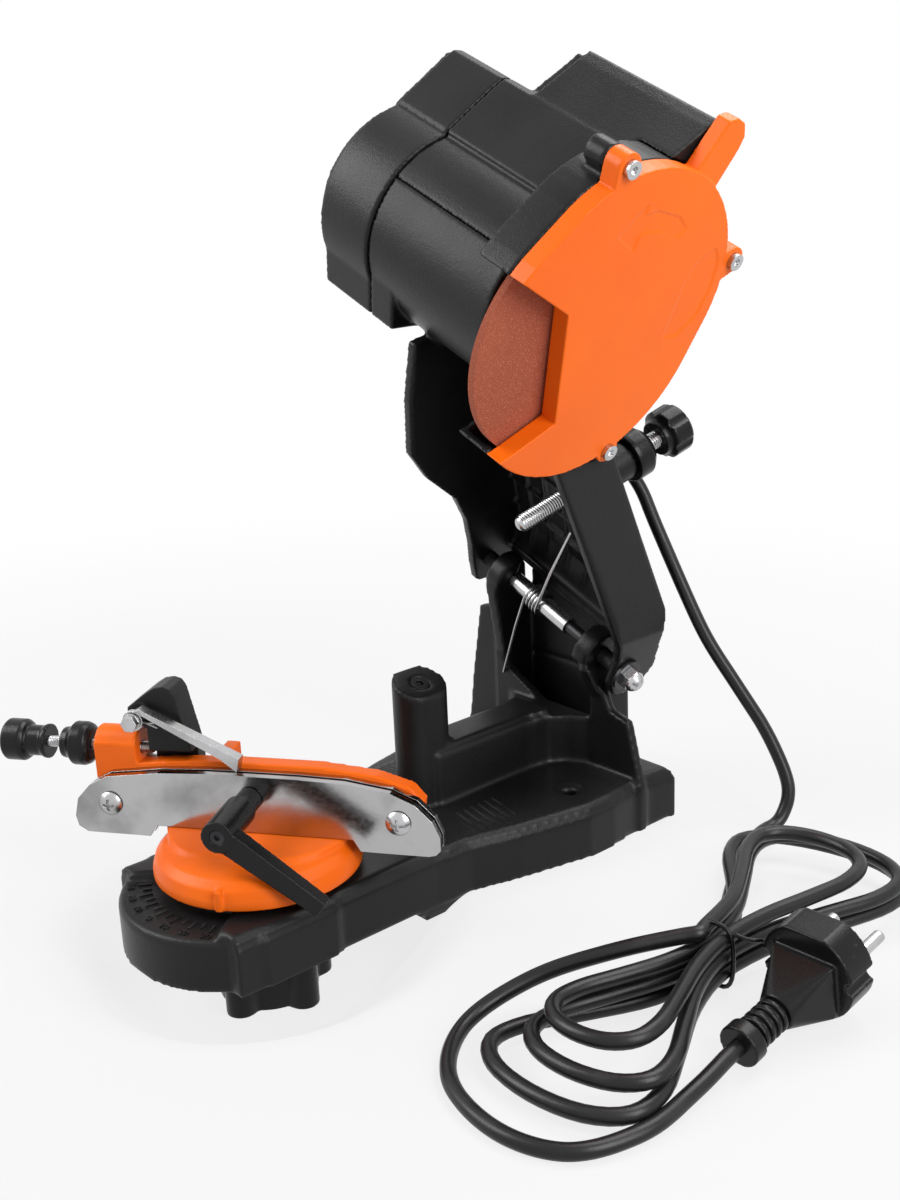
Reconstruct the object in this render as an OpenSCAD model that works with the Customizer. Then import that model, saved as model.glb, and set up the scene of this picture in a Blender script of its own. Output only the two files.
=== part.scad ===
// Electric chainsaw sharpener: a grinding head on an inclined axle, swung down
// by hand onto a chain that a swivelling vise holds.
// Origin: swivel axis of the vise, on the plane of the bench. +X right, +Y back.

/* [Base] */
// Height of the deck above the bench
deck_h = 25; // [18:1:32]
// Wall of the moulded base
base_wall = 3.5; // [2.5:0.5:5]
// Radius of the rounded front of the base
front_r = 48.6; // [46:0.2:54]
// Distance from the swivel axis back to the centre of the front round
front_back = 11.3; // [8:0.5:14]
// Distance from the axle back to the rear edge of the base
rear_back = 21.6; // [20.6:0.2:40]
// Half width of the base at the rear
rear_half = 59; // [54:1:70]
// Depth of the ledge that bears on the edge of the bench
ledge_h = 6.4; // [3:0.2:10]
// Diameter of the holes for the bench screws
bench_hole_d = 6.6; // [5:0.2:8]
// Sideways distance of a rear bench hole from the middle
bench_hole_x = 40; // [36:1:46]
// Distance of the rear bench holes behind the swivel axis
bench_hole_y = 143; // [138:1:150]

/* [Tower] */
// Height of the axle above the bench, at the middle
axle_z = 94.5; // [90:0.5:105]
// Distance of the axle behind the swivel axis
axle_y = 173.4; // [170:0.2:180]
// Slope of the axle, motor side up
head_tilt = 23.4; // [15:0.2:28]
// Diameter of the axle bolt
axle_d = 6; // [5:0.5:8]
// Inner half width between the tower walls
tower_half = 27.5; // [24:0.5:32]
// Thickness of the tower walls
tower_wall = 6.5; // [5:0.5:9]
// Radius of the bosses round the axle
ear_r = 11; // [8:0.5:14]
// Height of the raised middle body above the bench
hump_z = 52; // [40:1:58]
// Half width of the raised middle body
hump_half = 11.2; // [9:0.2:15]
// Distance of the depth stop post behind the swivel axis
post_y = 90.5; // [88:0.5:93]
// Height of the post's sloped top, along the tilted frame, under the axle
post_drop = 11.8; // [11.7:0.1:18]
// Length of the post's oval, front to back
post_len = 26; // [22:0.5:30]
// Width of the post's oval
post_w = 19; // [15:0.5:24]

/* [Vise] */
// Swivel of the vise, as photographed
swivel = 35; // [-35:1:35]
// Radius of the swivel disc
disc_r = 43.3; // [38:0.1:44]
// Gap between the deck and the swivel disc
disc_gap = 2.5; // [1:0.5:4]
// Half length of the jaw plates
plate_half = 79.5; // [70:0.5:90]
// Thickness of a jaw plate
plate_t = 3; // [2:0.5:4]
// Height of the top edge of the jaw plates
plate_top = 67.3; // [64:0.1:72]
// Height of the bottom edge of the jaw plates
plate_bottom = 37.2; // [36:0.1:42]
// Slot between the jaw plates, for the drive links of the chain
chain_slot = 1.8; // [1.4:0.1:2.4]
// Distance of the plate screws from the middle
plate_screw_x = 62.5; // [56:0.5:68]
// Height of the plate screws
plate_screw_z = 51.2; // [48:0.2:56]
// Height of the clamp stud
clamp_z = 57.5; // [54:0.5:60]
// Distance from the chain slot to the free end of the clamp hub
clamp_reach = 40; // [38:1:44]
// Length of the clamp handle
clamp_len = 49; // [40:1:60]
// Height of the chain stop screw
stop_z = 70.6; // [69.5:0.1:73]
// Distance of the chain stop screw behind the chain slot
stop_back = 12; // [11:0.5:14]
// Diameter of the chain stop screw
stop_d = 5; // [4:0.5:6]

/* [Grinding wheel] */
// Diameter of the grinding wheel
wheel_d = 108; // [90:1:110]
// Thickness of the grinding wheel
wheel_t = 3.2; // [3:0.1:4.5]
// Bore of the grinding wheel
wheel_bore = 23; // [16:0.5:23]
// Left face of the wheel, from the middle of the axle along it
wheel_a = 9.4; // [9:0.1:10]
// Distance of the spindle in front of the axle
spindle_front = 54.3; // [50:0.1:60]
// Distance of the spindle above the axle
spindle_up = 160; // [155:0.5:170]
// Diameter of the spindle
spindle_d = 8; // [7:0.5:10]

/* [Head] */
// Outer radius of the motor tube
tube_r = 40; // [39:0.5:44]
// Wall of the moulded housing
shell = 3; // [2:0.5:3.5]
// Left end of the end cap, along the axle
cap_left = -111; // [-118:1:-110]
// Joint between the end cap and the motor tube
cap_joint = -76; // [-78:1:-74]
// Right face of the wheel guard
guard_a = 22; // [21.8:0.1:24]
// Joint between the wheel guard and the collar behind it
collar_a = 13.6; // [13.4:0.1:14]
// Clearance round the wheel inside the guard
guard_clear = 2.6; // [1.5:0.1:4]
// Wall of the wheel guard
guard_wall = 2.2; // [1.6:0.1:2.4]
// Half distance between the outer faces of the two arms
arm_half = 51; // [50:0.5:54]
// Thickness of an arm at the axle
arm_t = 5; // [4:0.5:6]

/* [Depth stop] */
// Place of the depth bolt's tip, along the bolt
depth_out = 0.6; // [0:0.1:0.9]
// Diameter of the depth bolt
depth_d = 8; // [6:0.5:9]
// Slope of the depth bolt
depth_slope = 21.1; // [19:0.1:23]

/* [Cord] */
// Diameter of the mains cord
cord_d = 6.2; // [5:0.1:6.4]
// Rise of the cord from loop to loop in the hank
loop_rise = 6.9; // [6.9:0.1:8]
// Diameter of the plug's flange
plug_d = 38; // [36:0.5:40]

/* [Fits] */
// Radial clearance of a running fit
run_fit = 0.05; // [0.02:0.01:0.1]
// Gap between neighbouring pieces that don't touch
gap = 0.3; // [0.2:0.05:0.4]

/* [Hidden] */
$fn = 48;
disc_z = deck_h + disc_gap;
plate_in = chain_slot / 2;
plate_out = plate_in + plate_t;
wheel_r = wheel_d / 2;
guard_r = wheel_r + guard_clear + guard_wall;
sb = -spindle_front;
sc = spindle_up;
tube_b = sb + 1.3;
tube_c = sc + 5;
guard_in = guard_a - guard_wall;
arm_in = arm_half - arm_t;
depth_a = 6;
tip_b = -50.4 + depth_out * cos(depth_slope);
tip_c = 64.1 + depth_out * sin(depth_slope);
tower_y = axle_y - 3.4;
rear_y = axle_y + rear_back;
swivel_d = 12;
pin_d = 5;
pawl_x = -50;
pawl_z = 87.5;
rail_x = -47.6;
web_z = hump_z + 14;
web_t = 3.5;
cord_r = cord_d / 2;

// ---- frames -------------------------------------------------------------

// Frame of the head: x along the sloped axle, y back, z up from the axle
module head() {
  translate([0, axle_y, axle_z]) rotate([0, head_tilt, 0]) children();
}

// Frame of the vise: x along the jaws, y back across the chain slot
module vise() {
  rotate([0, 0, swivel]) children();
}

// Extrudes a side outline (y, z) along x from a0 to a1
module along(a0, a1) {
  translate([a0, 0, 0]) rotate([90, 0, 90]) linear_extrude(a1 - a0) children();
}

// A cylinder along x
module rod_x(r, a0, a1, b = 0, c = 0) {
  translate([a0, b, c]) rotate([0, 90, 0]) cylinder(r = r, h = a1 - a0);
}

// A cylinder along y
module rod_y(r, b0, b1, a = 0, c = 0) {
  translate([a, b0, c]) rotate([-90, 0, 0]) cylinder(r = r, h = b1 - b0);
}

// A pan head with a hexagon socket, its seat at z = 0
module cap_head(r, h, hex) {
  difference() {
    cylinder(r = r, h = h);
    translate([0, 0, h * 0.45]) cylinder(r = hex, h = h, $fn = 6);
  }
}

// ---- base ---------------------------------------------------------------

// Plan of the front part of the base, drawn in by s
module front_plan(s) {
  intersection() {
    union() {
      translate([0, -front_back]) circle(r = front_r - s, $fn = 64);
      polygon([[-44.5 + s, -front_back - 30], [44.5 - s, -front_back - 30],
        [43.7 - s, 45], [43.7 - s, 84], [-43.7 + s, 84], [-43.7 + s, 45]]);
    }
    translate([-45.6 + s, -80]) square([91.2 - 2 * s, 164]);
  }
}

// Plan of the rear part of the base, flaring towards the tower
module rear_plan(s) {
  polygon([[-43.7 + s, 60], [43.7 - s, 60], [45.5 - s, 78], [52 - s, 100],
    [rear_half + 1 - s, rear_y - 59], [rear_half + 1 - s, rear_y - 43],
    [rear_half - 1 - s, rear_y - 29], [rear_half - 1 - s, rear_y - 15],
    [rear_half - s, rear_y - s], [-rear_half + s, rear_y - s],
    [-rear_half + 1 + s, rear_y - 15], [-rear_half + 1 + s, rear_y - 29],
    [-rear_half - 1 + s, rear_y - 43], [-rear_half - 1 + s, rear_y - 59],
    [-52 + s, 100], [-45.5 + s, 78]]);
}

// One level of the deck with its drawn-in edge
module deck(s, z0, z1) {
  translate([0, 0, z0]) linear_extrude(z1 - z0) {
    front_plan(s);
    rear_plan(s);
  }
}

// The oval depth stop post, cut square to the tilted frame
module post() {
  intersection() {
    translate([0, post_y, deck_h - 3]) linear_extrude(100) hull() {
      translate([0, (post_len - post_w) / 2]) circle(d = post_w, $fn = 40);
      translate([0, -(post_len - post_w) / 2]) circle(d = post_w, $fn = 40);
    }
    head() translate([-60, -140, -post_drop - 100]) cube([120, 130, 100]);
  }
}

// Front elevation of the tower, with the sloping shoulders under the arms
module tower_front() {
  polygon([[-rear_half, 0], [-rear_half, deck_h - 3], [-57, deck_h + 4], [-54, 50],
    [-47, 88], [-36, 91], [-34, 100], [-tower_half, 100], [-tower_half, deck_h - 4],
    [tower_half, deck_h - 4], [tower_half, 70], [tower_half + tower_wall, 68],
    [40, 55], [51, 52], [57, deck_h + 4], [rear_half, deck_h - 3], [rear_half, 0]]);
}

// One wall of the tower: from the deck up to its boss on the axle
module tower_side(side, top) {
  translate([side > 0 ? tower_half : -tower_half - tower_wall, 0, 0])
    along(0, tower_wall)
      polygon([[tower_y - 0.5, 10], [tower_y - 0.5, 60], [axle_y - ear_r, top],
        [axle_y + ear_r, top], [tower_y + 20.5, top - 14], [tower_y + 21, 10]]);
}

// The scale: ticks every five degrees, raised in the front recess
module scale_ticks() {
  for (i = [-7:7]) rotate([0, 0, -90 + i * 5.4])
    translate([disc_r + 1.2, -0.45, deck_h - 3.6])
      cube([i % 2 == 0 ? 5.4 : 3.6, 0.9, 1]);
}

module base() {
  color([0.15, 0.15, 0.16]) difference() {
    union() {
      difference() {
        union() {
          deck(0, 0, deck_h - 5);
          deck(1.2, deck_h - 5.01, deck_h - 2);
          deck(3, deck_h - 2.01, deck_h);
          // ledge against the edge of the bench
          translate([0, 0, -ledge_h]) linear_extrude(ledge_h + 1)
            polygon([[-42, 54], [42, 54], [42, 72], [-42, 72]]);
          translate([0, 0, -ledge_h / 2]) linear_extrude(ledge_h / 2 + 1)
            polygon([[-43, 50], [43, 50], [43, 77], [-43, 77]]);
        }
        // the hollow under the deck
        translate([0, 0, -1]) linear_extrude(deck_h - base_wall + 1) difference() {
          union() {
            front_plan(base_wall + 3);
            rear_plan(base_wall + 3);
          }
          translate([-60, 49]) square([120, 29]);
        }
      }
      // pivot boss and seat ring of the swivel
      cylinder(r = 15, h = deck_h);
      translate([0, 0, deck_h - 1]) cylinder(r = 33, h = disc_gap + 1 - gap);
      // bosses of the bench screws
      for (sx = [-1, 1]) translate([sx * bench_hole_x, bench_hole_y, 0]) cylinder(r = 8, h = deck_h - 1);
      // raised middle body
      translate([0, 0, deck_h - 3]) linear_extrude(hump_z - deck_h)
        polygon([[-hump_half, post_y], [hump_half, post_y], [hump_half, tower_y - 25],
          [13, tower_y - 13], [18, tower_y - 6], [26, tower_y - 1], [34, tower_y + 3],
          [-34, tower_y + 3], [-26, tower_y - 1], [-18, tower_y - 6], [-13, tower_y - 13],
          [-hump_half, tower_y - 25]]);
      translate([0, 0, hump_z - 4]) linear_extrude(4)
        polygon([[-hump_half + 2, post_y], [hump_half - 2, post_y],
          [hump_half - 2, tower_y - 23], [12, tower_y - 10], [-12, tower_y - 10],
          [-hump_half + 2, tower_y - 23]]);
      // front web between the tower walls, falling away to the right
      translate([0, tower_y + 3, 0]) rotate([90, 0, 0]) linear_extrude(5)
        polygon([[-34, deck_h - 4], [-34, 68], [-24, 60], [-10, 52.5], [3, 45], [12, 36],
          [16, deck_h], [16, deck_h - 4]]);
      post();
      // tower: front plate, walls, bosses and rear web
      translate([0, tower_y + 5, 0]) rotate([90, 0, 0]) linear_extrude(5) tower_front();
      tower_side(-1, 103);
      tower_side(1, 75);
      translate([-tower_half - 1, tower_y + 17, deck_h - 3])
        cube([2 * tower_half + 2, web_t, web_z - deck_h + 3]);
      head() rod_x(ear_r, -36, -26.4);
      head() rod_x(ear_r, 26.4, 36);
      scale_ticks();
      // cooling ribs on the deck beside the raised body
      for (side = [0, 1], i = [0:5]) mirror([side, 0, 0])
        translate([22, 88 + i * 4.2, deck_h - 0.5]) rotate([0, 0, -12]) cube([20, 1.4, 1.1]);
    }
    // recess of the scale, open to the front
    translate([0, 0, deck_h - 3.2]) difference() {
      linear_extrude(10) difference() {
        intersection() {
          polygon([[0, 0], [120 * sin(38), -120 * cos(38)], [0, -140],
            [-120 * sin(38), -120 * cos(38)]]);
          translate([0, -front_back]) circle(r = front_r + 2, $fn = 64);
        }
        circle(r = 35);
      }
      for (i = [-7:7]) rotate([0, 0, -90 + i * 5.4])
        translate([disc_r + 1.2, -0.45, -1]) cube([i % 2 == 0 ? 5.4 : 3.6, 0.9, 1.8]);
    }
    // pivot bore and bench screw holes
    translate([0, 0, -10]) cylinder(r = swivel_d / 2 + run_fit, h = 60);
    for (sx = [-1, 1]) {
      translate([sx * bench_hole_x, bench_hole_y, -10]) cylinder(d = bench_hole_d, h = 60);
      translate([sx * bench_hole_x, bench_hole_y, deck_h - 1.2]) cylinder(r = 7, h = 20);
    }
    // screw hole in the post, square to its sloped top
    head() translate([depth_a, post_y - axle_y, -post_drop - 18]) cylinder(r = 2.5, h = 40);
    head() translate([depth_a, post_y - axle_y, -post_drop - 3.4]) cylinder(r = 4.3, h = 20);
    // bore of the axle
    head() rod_x(axle_d / 2, -70, 70);
    // channel between the tower walls
    translate([-tower_half, tower_y + 5, hump_z + 12]) cube([2 * tower_half, 40, 90]);
  }
}

// Plate that closes the back of the tower, from its rear web up to the axle
module tower_web() {
  color([0.15, 0.15, 0.16]) intersection() {
    translate([-tower_half + gap, tower_y + 17, web_z]) cube([2 * (tower_half - gap), web_t, 60]);
    head() translate([-60, 0, -60]) cube([120, 40, 61]);
  }
}

// Socket screw in the post, that the depth bolt comes down on
module post_screw() {
  color([0.12, 0.12, 0.12]) head() translate([depth_a, post_y - axle_y, -post_drop - 3.4]) {
    cap_head(4.2, 3.2, 2);
    translate([0, 0, -12]) cylinder(r = 2.5, h = 12);
  }
}

// ---- axle ---------------------------------------------------------------

module axle_bolt() {
  color([0.3, 0.3, 0.32]) head() {
    rod_x(axle_d / 2, -arm_half - 0.5, arm_half + 7);
    translate([-arm_half - 4.5, 0, 0]) rotate([0, 90, 0]) cylinder(r = axle_d * 0.92, h = 4, $fn = 6);
  }
}

module axle_washer() {
  color([0.1, 0.1, 0.1]) head() difference() {
    rod_x(axle_d + 1.8, arm_half + gap, arm_half + 1.8);
    rod_x(axle_d / 2 + 0.2, arm_half - 1, arm_half + 3);
  }
}

module axle_nut() {
  color([0.8, 0.8, 0.8]) head() difference() {
    union() {
      translate([arm_half + 1.9, 0, 0]) rotate([0, 90, 0]) cylinder(r = axle_d * 0.93, h = 4.2, $fn = 6);
      translate([arm_half + 6, 0, 0]) rotate([0, 90, 0]) rotate_extrude()
        polygon([[0, 0], [5, 0], [4.8, 1], [4.2, 2.2], [3.2, 3.2], [1.8, 3.9], [0, 4.1]]);
    }
    rod_x(axle_d / 2 + 0.02, arm_half - 1, arm_half + 7.2);
  }
}

// Steel tube round the axle, inside the spring
module spacer_tube() {
  color([0.75, 0.75, 0.75]) head() difference() {
    rod_x(axle_d / 2 + 1.2, -26.2, 13);
    rod_x(axle_d / 2 + 0.1, -30, 20);
  }
}

// Black sleeves between the tower and the arms
module sleeve(a0, a1) {
  color([0.12, 0.12, 0.12]) head() difference() {
    rod_x(axle_d / 2 + 0.9, a0, a1);
    rod_x(axle_d / 2 + 0.1, a0 - 1, a1 + 1);
  }
}

module sleeve_left() { sleeve(-arm_in + gap, -36.1); }

module sleeve_right() { sleeve(36.1, arm_in - gap); }

// Tube of triangles round a list of points, its ends square to its first and
// last leg. The side vectors come from a fixed up direction.
function unit(v) = v / norm(v);
function leg(p, i) = unit(p[min(i + 1, len(p) - 1)] - p[max(i - 1, 0)]);
function side_of(d, up) = unit(cross(d, up));
function ring(p, i, r, n, up) =
  let (d = leg(p, i), s = side_of(d, up), t = cross(s, d))
  [for (k = [0:n - 1]) p[i] + r * (cos(k * 360 / n) * s + sin(k * 360 / n) * t)];
module tube(p, r, n = 8, up = [0, 0, 1]) {
  m = len(p);
  pts = [for (i = [0:m - 1]) each ring(p, i, r, n, up)];
  body = [for (i = [0:m - 2]) for (k = [0:n - 1]) let (k2 = (k + 1) % n)
    each [[i * n + k, i * n + k2, (i + 1) * n + k2], [i * n + k, (i + 1) * n + k2, (i + 1) * n + k]]];
  first = [for (k = [1:n - 2]) [0, k + 1, k]];
  last = [for (k = [1:n - 2]) [(m - 1) * n, (m - 1) * n + k, (m - 1) * n + k + 1]];
  polyhedron(points = pts, faces = concat(body, first, last), convexity = 10);
}

// Four coils round the spacer tube, one leg down on the web, one up the arm
spring_r = axle_d / 2 + 1.2 + 1.5;
spring_wire = 1.6;
function spring_pt(t) = [-13 + 2.1 * t / 360, -spring_r * cos(t), spring_r * sin(t)];
spring_turns = 4;
spring_pts = concat(
  [[-10.5, -6.6, -44], [-12.4, -6.4, -16]],
  [for (i = [0:8 * spring_turns]) spring_pt(i * 45)],
  [[-4.4, -3.4, 20], [-4.2, 1.4, 42]]);
module tilt_spring() {
  color([0.75, 0.75, 0.75]) head() tube(spring_pts, spring_wire / 2, 6, [1, 0, 0.001]);
}

// ---- vise ---------------------------------------------------------------

module jaw_outline() {
  polygon([[-43, plate_bottom + 5], [-46, plate_bottom], [-plate_half + 5, plate_bottom],
    [-plate_half + 1, plate_bottom + 2.5], [-plate_half, plate_bottom + 7],
    [-plate_half + 2, plate_top - 15], [-plate_half + 8, plate_top - 8.5],
    [-plate_half + 16, plate_top - 4.2], [-40, plate_top - 1.2], [-20, plate_top - 0.2],
    [0, plate_top], [20, plate_top], [40, plate_top - 0.6], [plate_half - 20, plate_top - 3.6],
    [plate_half - 10, plate_top - 8], [plate_half - 3, plate_top - 15],
    [plate_half, plate_top - 22], [plate_half, plate_bottom + 3],
    [plate_half - 2, plate_bottom + 0.8], [plate_half - 5, plate_bottom],
    [46, plate_bottom], [43, plate_bottom + 5]]);
}

// A jaw plate between y0 and y0 + plate_t, drilled for its screws and the stud
module jaw_plate(y0) {
  difference() {
    translate([0, y0 + plate_t, 0]) rotate([90, 0, 0]) linear_extrude(plate_t) jaw_outline();
    for (sx = [-1, 1]) rod_y(2.7, y0 - 1, y0 + plate_t + 1, sx * plate_screw_x, plate_screw_z);
    rod_y(3.2, y0 - 1, y0 + plate_t + 1, 0, clamp_z);
  }
}

module rear_plate() { color([0.72, 0.72, 0.72]) vise() jaw_plate(plate_in); }

module front_plate() { color([0.72, 0.72, 0.72]) vise() jaw_plate(-plate_out); }

module vise_body() {
  color([1, 0.42, 0.05]) vise() difference() {
    union() {
      // swivel disc with its rounded shoulder
      rotate_extrude() polygon([[0, disc_z], [disc_r, disc_z], [disc_r, disc_z + 3.5],
        [disc_r - 1.4, disc_z + 8], [disc_r - 4.6, disc_z + 11], [disc_r - 14, disc_z + 13.5],
        [0, disc_z + 15]]);
      translate([0, 0, 12]) cylinder(r = swivel_d / 2, h = disc_z - 11);
      // pointer on the rim
      translate([-1.3, -disc_r - 1.2, disc_z]) cube([2.6, 6, 9]);
      // pedestal that carries the jaws
      hull() {
        translate([0, 0, disc_z + 8]) cylinder(r = 36, h = 2, $fn = 32);
        translate([-42, plate_out, plate_bottom + 6]) cube([84, 10, 8]);
      }
      // wall behind the rear plate
      translate([0, plate_out + 7.6, 0]) rotate([90, 0, 0]) linear_extrude(7.6)
        polygon([[-66, plate_bottom + 7], [-68, plate_bottom + 22], [-58, plate_bottom + 28.5],
          [-40, plate_top + 0.6], [-20, plate_top + 2], [28, plate_top + 2.2],
          [52, plate_top - 0.2], [66, plate_top - 4.5], [71, plate_top - 10.5],
          [69.5, plate_top - 19], [60, plate_bottom + 5.5], [-60, plate_bottom + 5.5]]);
      // block of the chain stop screw
      translate([-72, plate_out, plate_bottom + 7]) cube([19, 17, stop_z - plate_bottom - 3]);
      rod_x(stop_back - plate_out - 0.1, -72, -53, stop_back, stop_z + 1.2);
      // lug of the guide pin
      translate([-20, plate_out + 6, plate_bottom + 6]) cube([6, 15, 27]);
      hull() {
        translate([-10, 14, disc_z + 6]) cylinder(r = 24, h = 3, $fn = 32);
        translate([-20, plate_out + 7, plate_bottom + 6]) cube([6, 13, 10]);
      }
    }
    // room of the jaw plates
    translate([-90, -60, plate_bottom + 5 - gap]) cube([180, 60 + plate_out, 40]);
    // thread of the stop screw, guide pin, plate screws, clamp and swivel studs
    rod_x(stop_d / 2 + run_fit, -90, -50, stop_back, stop_z);
    rod_x(pin_d / 2, -68, -10, stop_back + 4.4, plate_top - 4.3);
    for (sx = [-1, 1]) rod_y(2.2, plate_out - 1, plate_out + 30, sx * plate_screw_x, plate_screw_z);
    rod_y(3 + run_fit, plate_out - 1, plate_out + 30, 0, clamp_z);
    translate([0, 0, 5]) cylinder(r = 4, h = disc_z + 5);
  }
}

// Stud of the swivel, cast into the disc and threaded into the lock knob
module swivel_stud() {
  color([0.7, 0.7, 0.7]) translate([0, 0, -24]) cylinder(r = 4, h = disc_z + 5 + 24);
}

module plate_screw(sx) {
  color([0.8, 0.8, 0.8]) vise() {
    rod_y(2.2, -plate_out - 1, plate_out + 6, sx * plate_screw_x, plate_screw_z);
    translate([sx * plate_screw_x, -plate_out - gap, plate_screw_z]) rotate([90, 0, 0])
      difference() {
        intersection() {
          cylinder(r = 5.2, h = 3);
          translate([0, 0, -4]) sphere(r = 6.9, $fn = 32);
        }
        for (k = [0, 90]) rotate([0, 0, k]) translate([-2.6, -0.6, 1.4]) cube([5.2, 1.2, 3]);
      }
  }
}

module plate_screw_left() { plate_screw(-1); }

module plate_screw_right() { plate_screw(1); }

// Pin that the chain stop slides on
module guide_pin() {
  color([0.7, 0.7, 0.7]) vise() rod_x(pin_d / 2, -66, -14.5, stop_back + 4.4, plate_top - 4.3);
}

// Ratchet handle: hub along the stud, arm down to the right
hub_r = 6.6;
module clamp_lever() {
  color([0.08, 0.08, 0.08]) vise() difference() {
    union() {
      rod_y(hub_r - 1.4, -plate_out - 12, -plate_out - gap, 0, clamp_z);
      rod_y(hub_r, -clamp_reach, -plate_out - 11, 0, clamp_z);
      translate([0, -clamp_reach + 0.6, clamp_z]) rotate([0, 34, 0]) hull() {
        translate([0, 0, -5]) cube([2, 7, 10]);
        translate([clamp_len - 2, -1.4, -3.4]) cube([2, 6.4, 6.8]);
      }
    }
    rod_y(3 + run_fit, -clamp_reach + 12, 10, 0, clamp_z);
    rod_y(1.5 + run_fit, -clamp_reach - 1, 10, 0, clamp_z);
    rod_y(3.1, -clamp_reach - 1, -clamp_reach + 2.6, 0, clamp_z);
  }
}

module clamp_stud() {
  color([0.7, 0.7, 0.7]) vise() difference() {
    rod_y(3, -clamp_reach + 12, plate_out + 12, 0, clamp_z);
    rod_y(1.5 + run_fit, -clamp_reach + 11, -clamp_reach + 20, 0, clamp_z);
  }
}

// Small screw that holds the handle on its stud
module clamp_screw() {
  color([0.15, 0.15, 0.15]) vise() {
    rod_y(1.5, -clamp_reach + 2.5, -clamp_reach + 18, 0, clamp_z);
    translate([0, -clamp_reach + 2.6, clamp_z]) rotate([90, 0, 0]) cap_head(3, 2.2, 1.4);
  }
}

// Chain stop: the sliding block, pushed along by the stop screw
module stop_carrier() {
  color([0.1, 0.1, 0.1]) vise() difference() {
    union() {
      translate([0, stop_back + 8, 0]) rotate([90, 0, 0]) linear_extrude(14)
        polygon([[rail_x, stop_z - 0.8 + 1.6], [rail_x, pawl_z - 6], [pawl_x - 5, pawl_z - 3],
          [pawl_x - 5.4, pawl_z + 3], [-46.5, 97.4], [-43, 99.6], [-39, 100.4],
          [-35.8, 99.4], [-34, 96.6], [-28.5, stop_z + 1.4]]);
      translate([0, stop_back + 8, 0]) rotate([90, 0, 0]) linear_extrude(7.4)
        polygon([[rail_x, plate_top - 9], [rail_x, stop_z + 3], [-28.5, stop_z + 3],
            [-28.5, plate_top - 9]]);
      rod_y(5.4, 5.6, stop_back + 8, pawl_x, pawl_z);
    }
    rod_x(pin_d / 2 + run_fit, -70, 0, stop_back + 4.4, plate_top - 4.3);
    rod_y(2, 0, 40, pawl_x, pawl_z);
  }
}

module pawl_bolt() {
  color([0.8, 0.8, 0.8]) vise() {
    rod_y(2, -1.4, stop_back + 7, pawl_x, pawl_z);
    rod_y(3.6, -2.2, -1.3, pawl_x, pawl_z);
    translate([pawl_x, -2.1, pawl_z]) rotate([90, 0, 0]) cylinder(r = 3.6, h = 3, $fn = 6);
  }
}

// Finger that drops behind a tooth of the chain, hinged on the pawl bolt
module pawl() {
  color([0.75, 0.75, 0.75]) vise() difference() {
    union() {
      rod_y(4.4, -1, 1.4, pawl_x, pawl_z);
      translate([0, plate_out - gap, 0]) rotate([90, 0, 0]) linear_extrude(5.2)
        polygon([[pawl_x + 0.5, pawl_z + 4.2], [pawl_x + 3, pawl_z + 5.6], [-11, plate_top + 9.2],
          [-4.4, plate_top + 6.2], [-5.8, plate_top + 0.4], [-12.5, plate_top + 5.6],
          [pawl_x + 4, pawl_z + 3]]);
    }
    rod_y(2 + run_fit, -3, 3, pawl_x, pawl_z);
  }
}

// Small return spring on the pawl bolt
pawl_pts = concat([[pawl_x + 8, 2.3, pawl_z - 1.6]],
  [for (i = [0:16]) [pawl_x + 3 * cos(i * 45 - 50), 2.3 + i * 0.15, pawl_z + 3 * sin(i * 45 - 50)]],
  [[pawl_x + 8, 4.9, pawl_z - 5]]);
module pawl_spring() {
  color([0.7, 0.7, 0.7]) vise() tube(pawl_pts, 0.45, 6, [0, 1, 0.001]);
}

module stop_screw() {
  color([0.8, 0.8, 0.8]) vise() rod_x(stop_d / 2, -112, rail_x - gap, stop_back, stop_z);
}

// Turned knob on the end of the stop screw
module stop_knob() {
  color([0.08, 0.08, 0.08]) vise() difference() {
    translate([-116, stop_back, stop_z]) rotate([0, 90, 0]) rotate_extrude()
      polygon([[0, 0], [8, 0], [9, 1.2], [9, 8.5], [8, 10], [6.6, 11], [6.6, 17], [7.4, 18.5],
        [7.4, 20], [0, 20]]);
    rod_x(stop_d / 2, -112, -90, stop_back, stop_z);
  }
}

module stop_lock_knob() {
  color([0.08, 0.08, 0.08]) vise() difference() {
    translate([-89, stop_back, stop_z]) rotate([0, 90, 0]) rotate_extrude()
      polygon([[0, 0], [6.5, 0], [7, 3], [9.4, 5.5], [9.4, 10], [8.6, 12], [6.8, 13.5], [0, 13.5]]);
    rod_x(stop_d / 2 + run_fit, -92, -70, stop_back, stop_z);
  }
}

// Lobed knob under the base, that clamps the swivel
module lock_knob() {
  color([0.08, 0.08, 0.08]) difference() {
    union() {
      translate([0, 0, -31]) linear_extrude(22) {
        circle(r = 21);
        for (k = [0:4]) rotate([0, 0, k * 72 + 6]) hull() {
          translate([22, 0]) circle(r = 6.5, $fn = 24);
          circle(r = 11, $fn = 24);
        }
      }
      translate([0, 0, -9.5]) cylinder(r = 14, h = 6);
      translate([0, 0, -4]) cylinder(r = 10.5, h = 4 - gap);
    }
    translate([0, 0, -26]) cylinder(r = 6, h = 40);
  }
}

module lock_insert() {
  color([0.8, 0.7, 0.4]) difference() {
    translate([0, 0, -26]) cylinder(r = 6, h = 24);
    translate([0, 0, -27]) cylinder(r = 4 + run_fit, h = 30);
  }
}

// ---- head ---------------------------------------------------------------

// Side outline of the wheel guard, grown by s, without its ears
module guard_round(s = 0) {
  hull() {
    translate([sb, sc]) circle(r = guard_r + s, $fn = 56);
    translate([sb + 9.3, sc + 17]) circle(r = guard_r - 4.8 + s, $fn = 56);
  }
}

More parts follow.
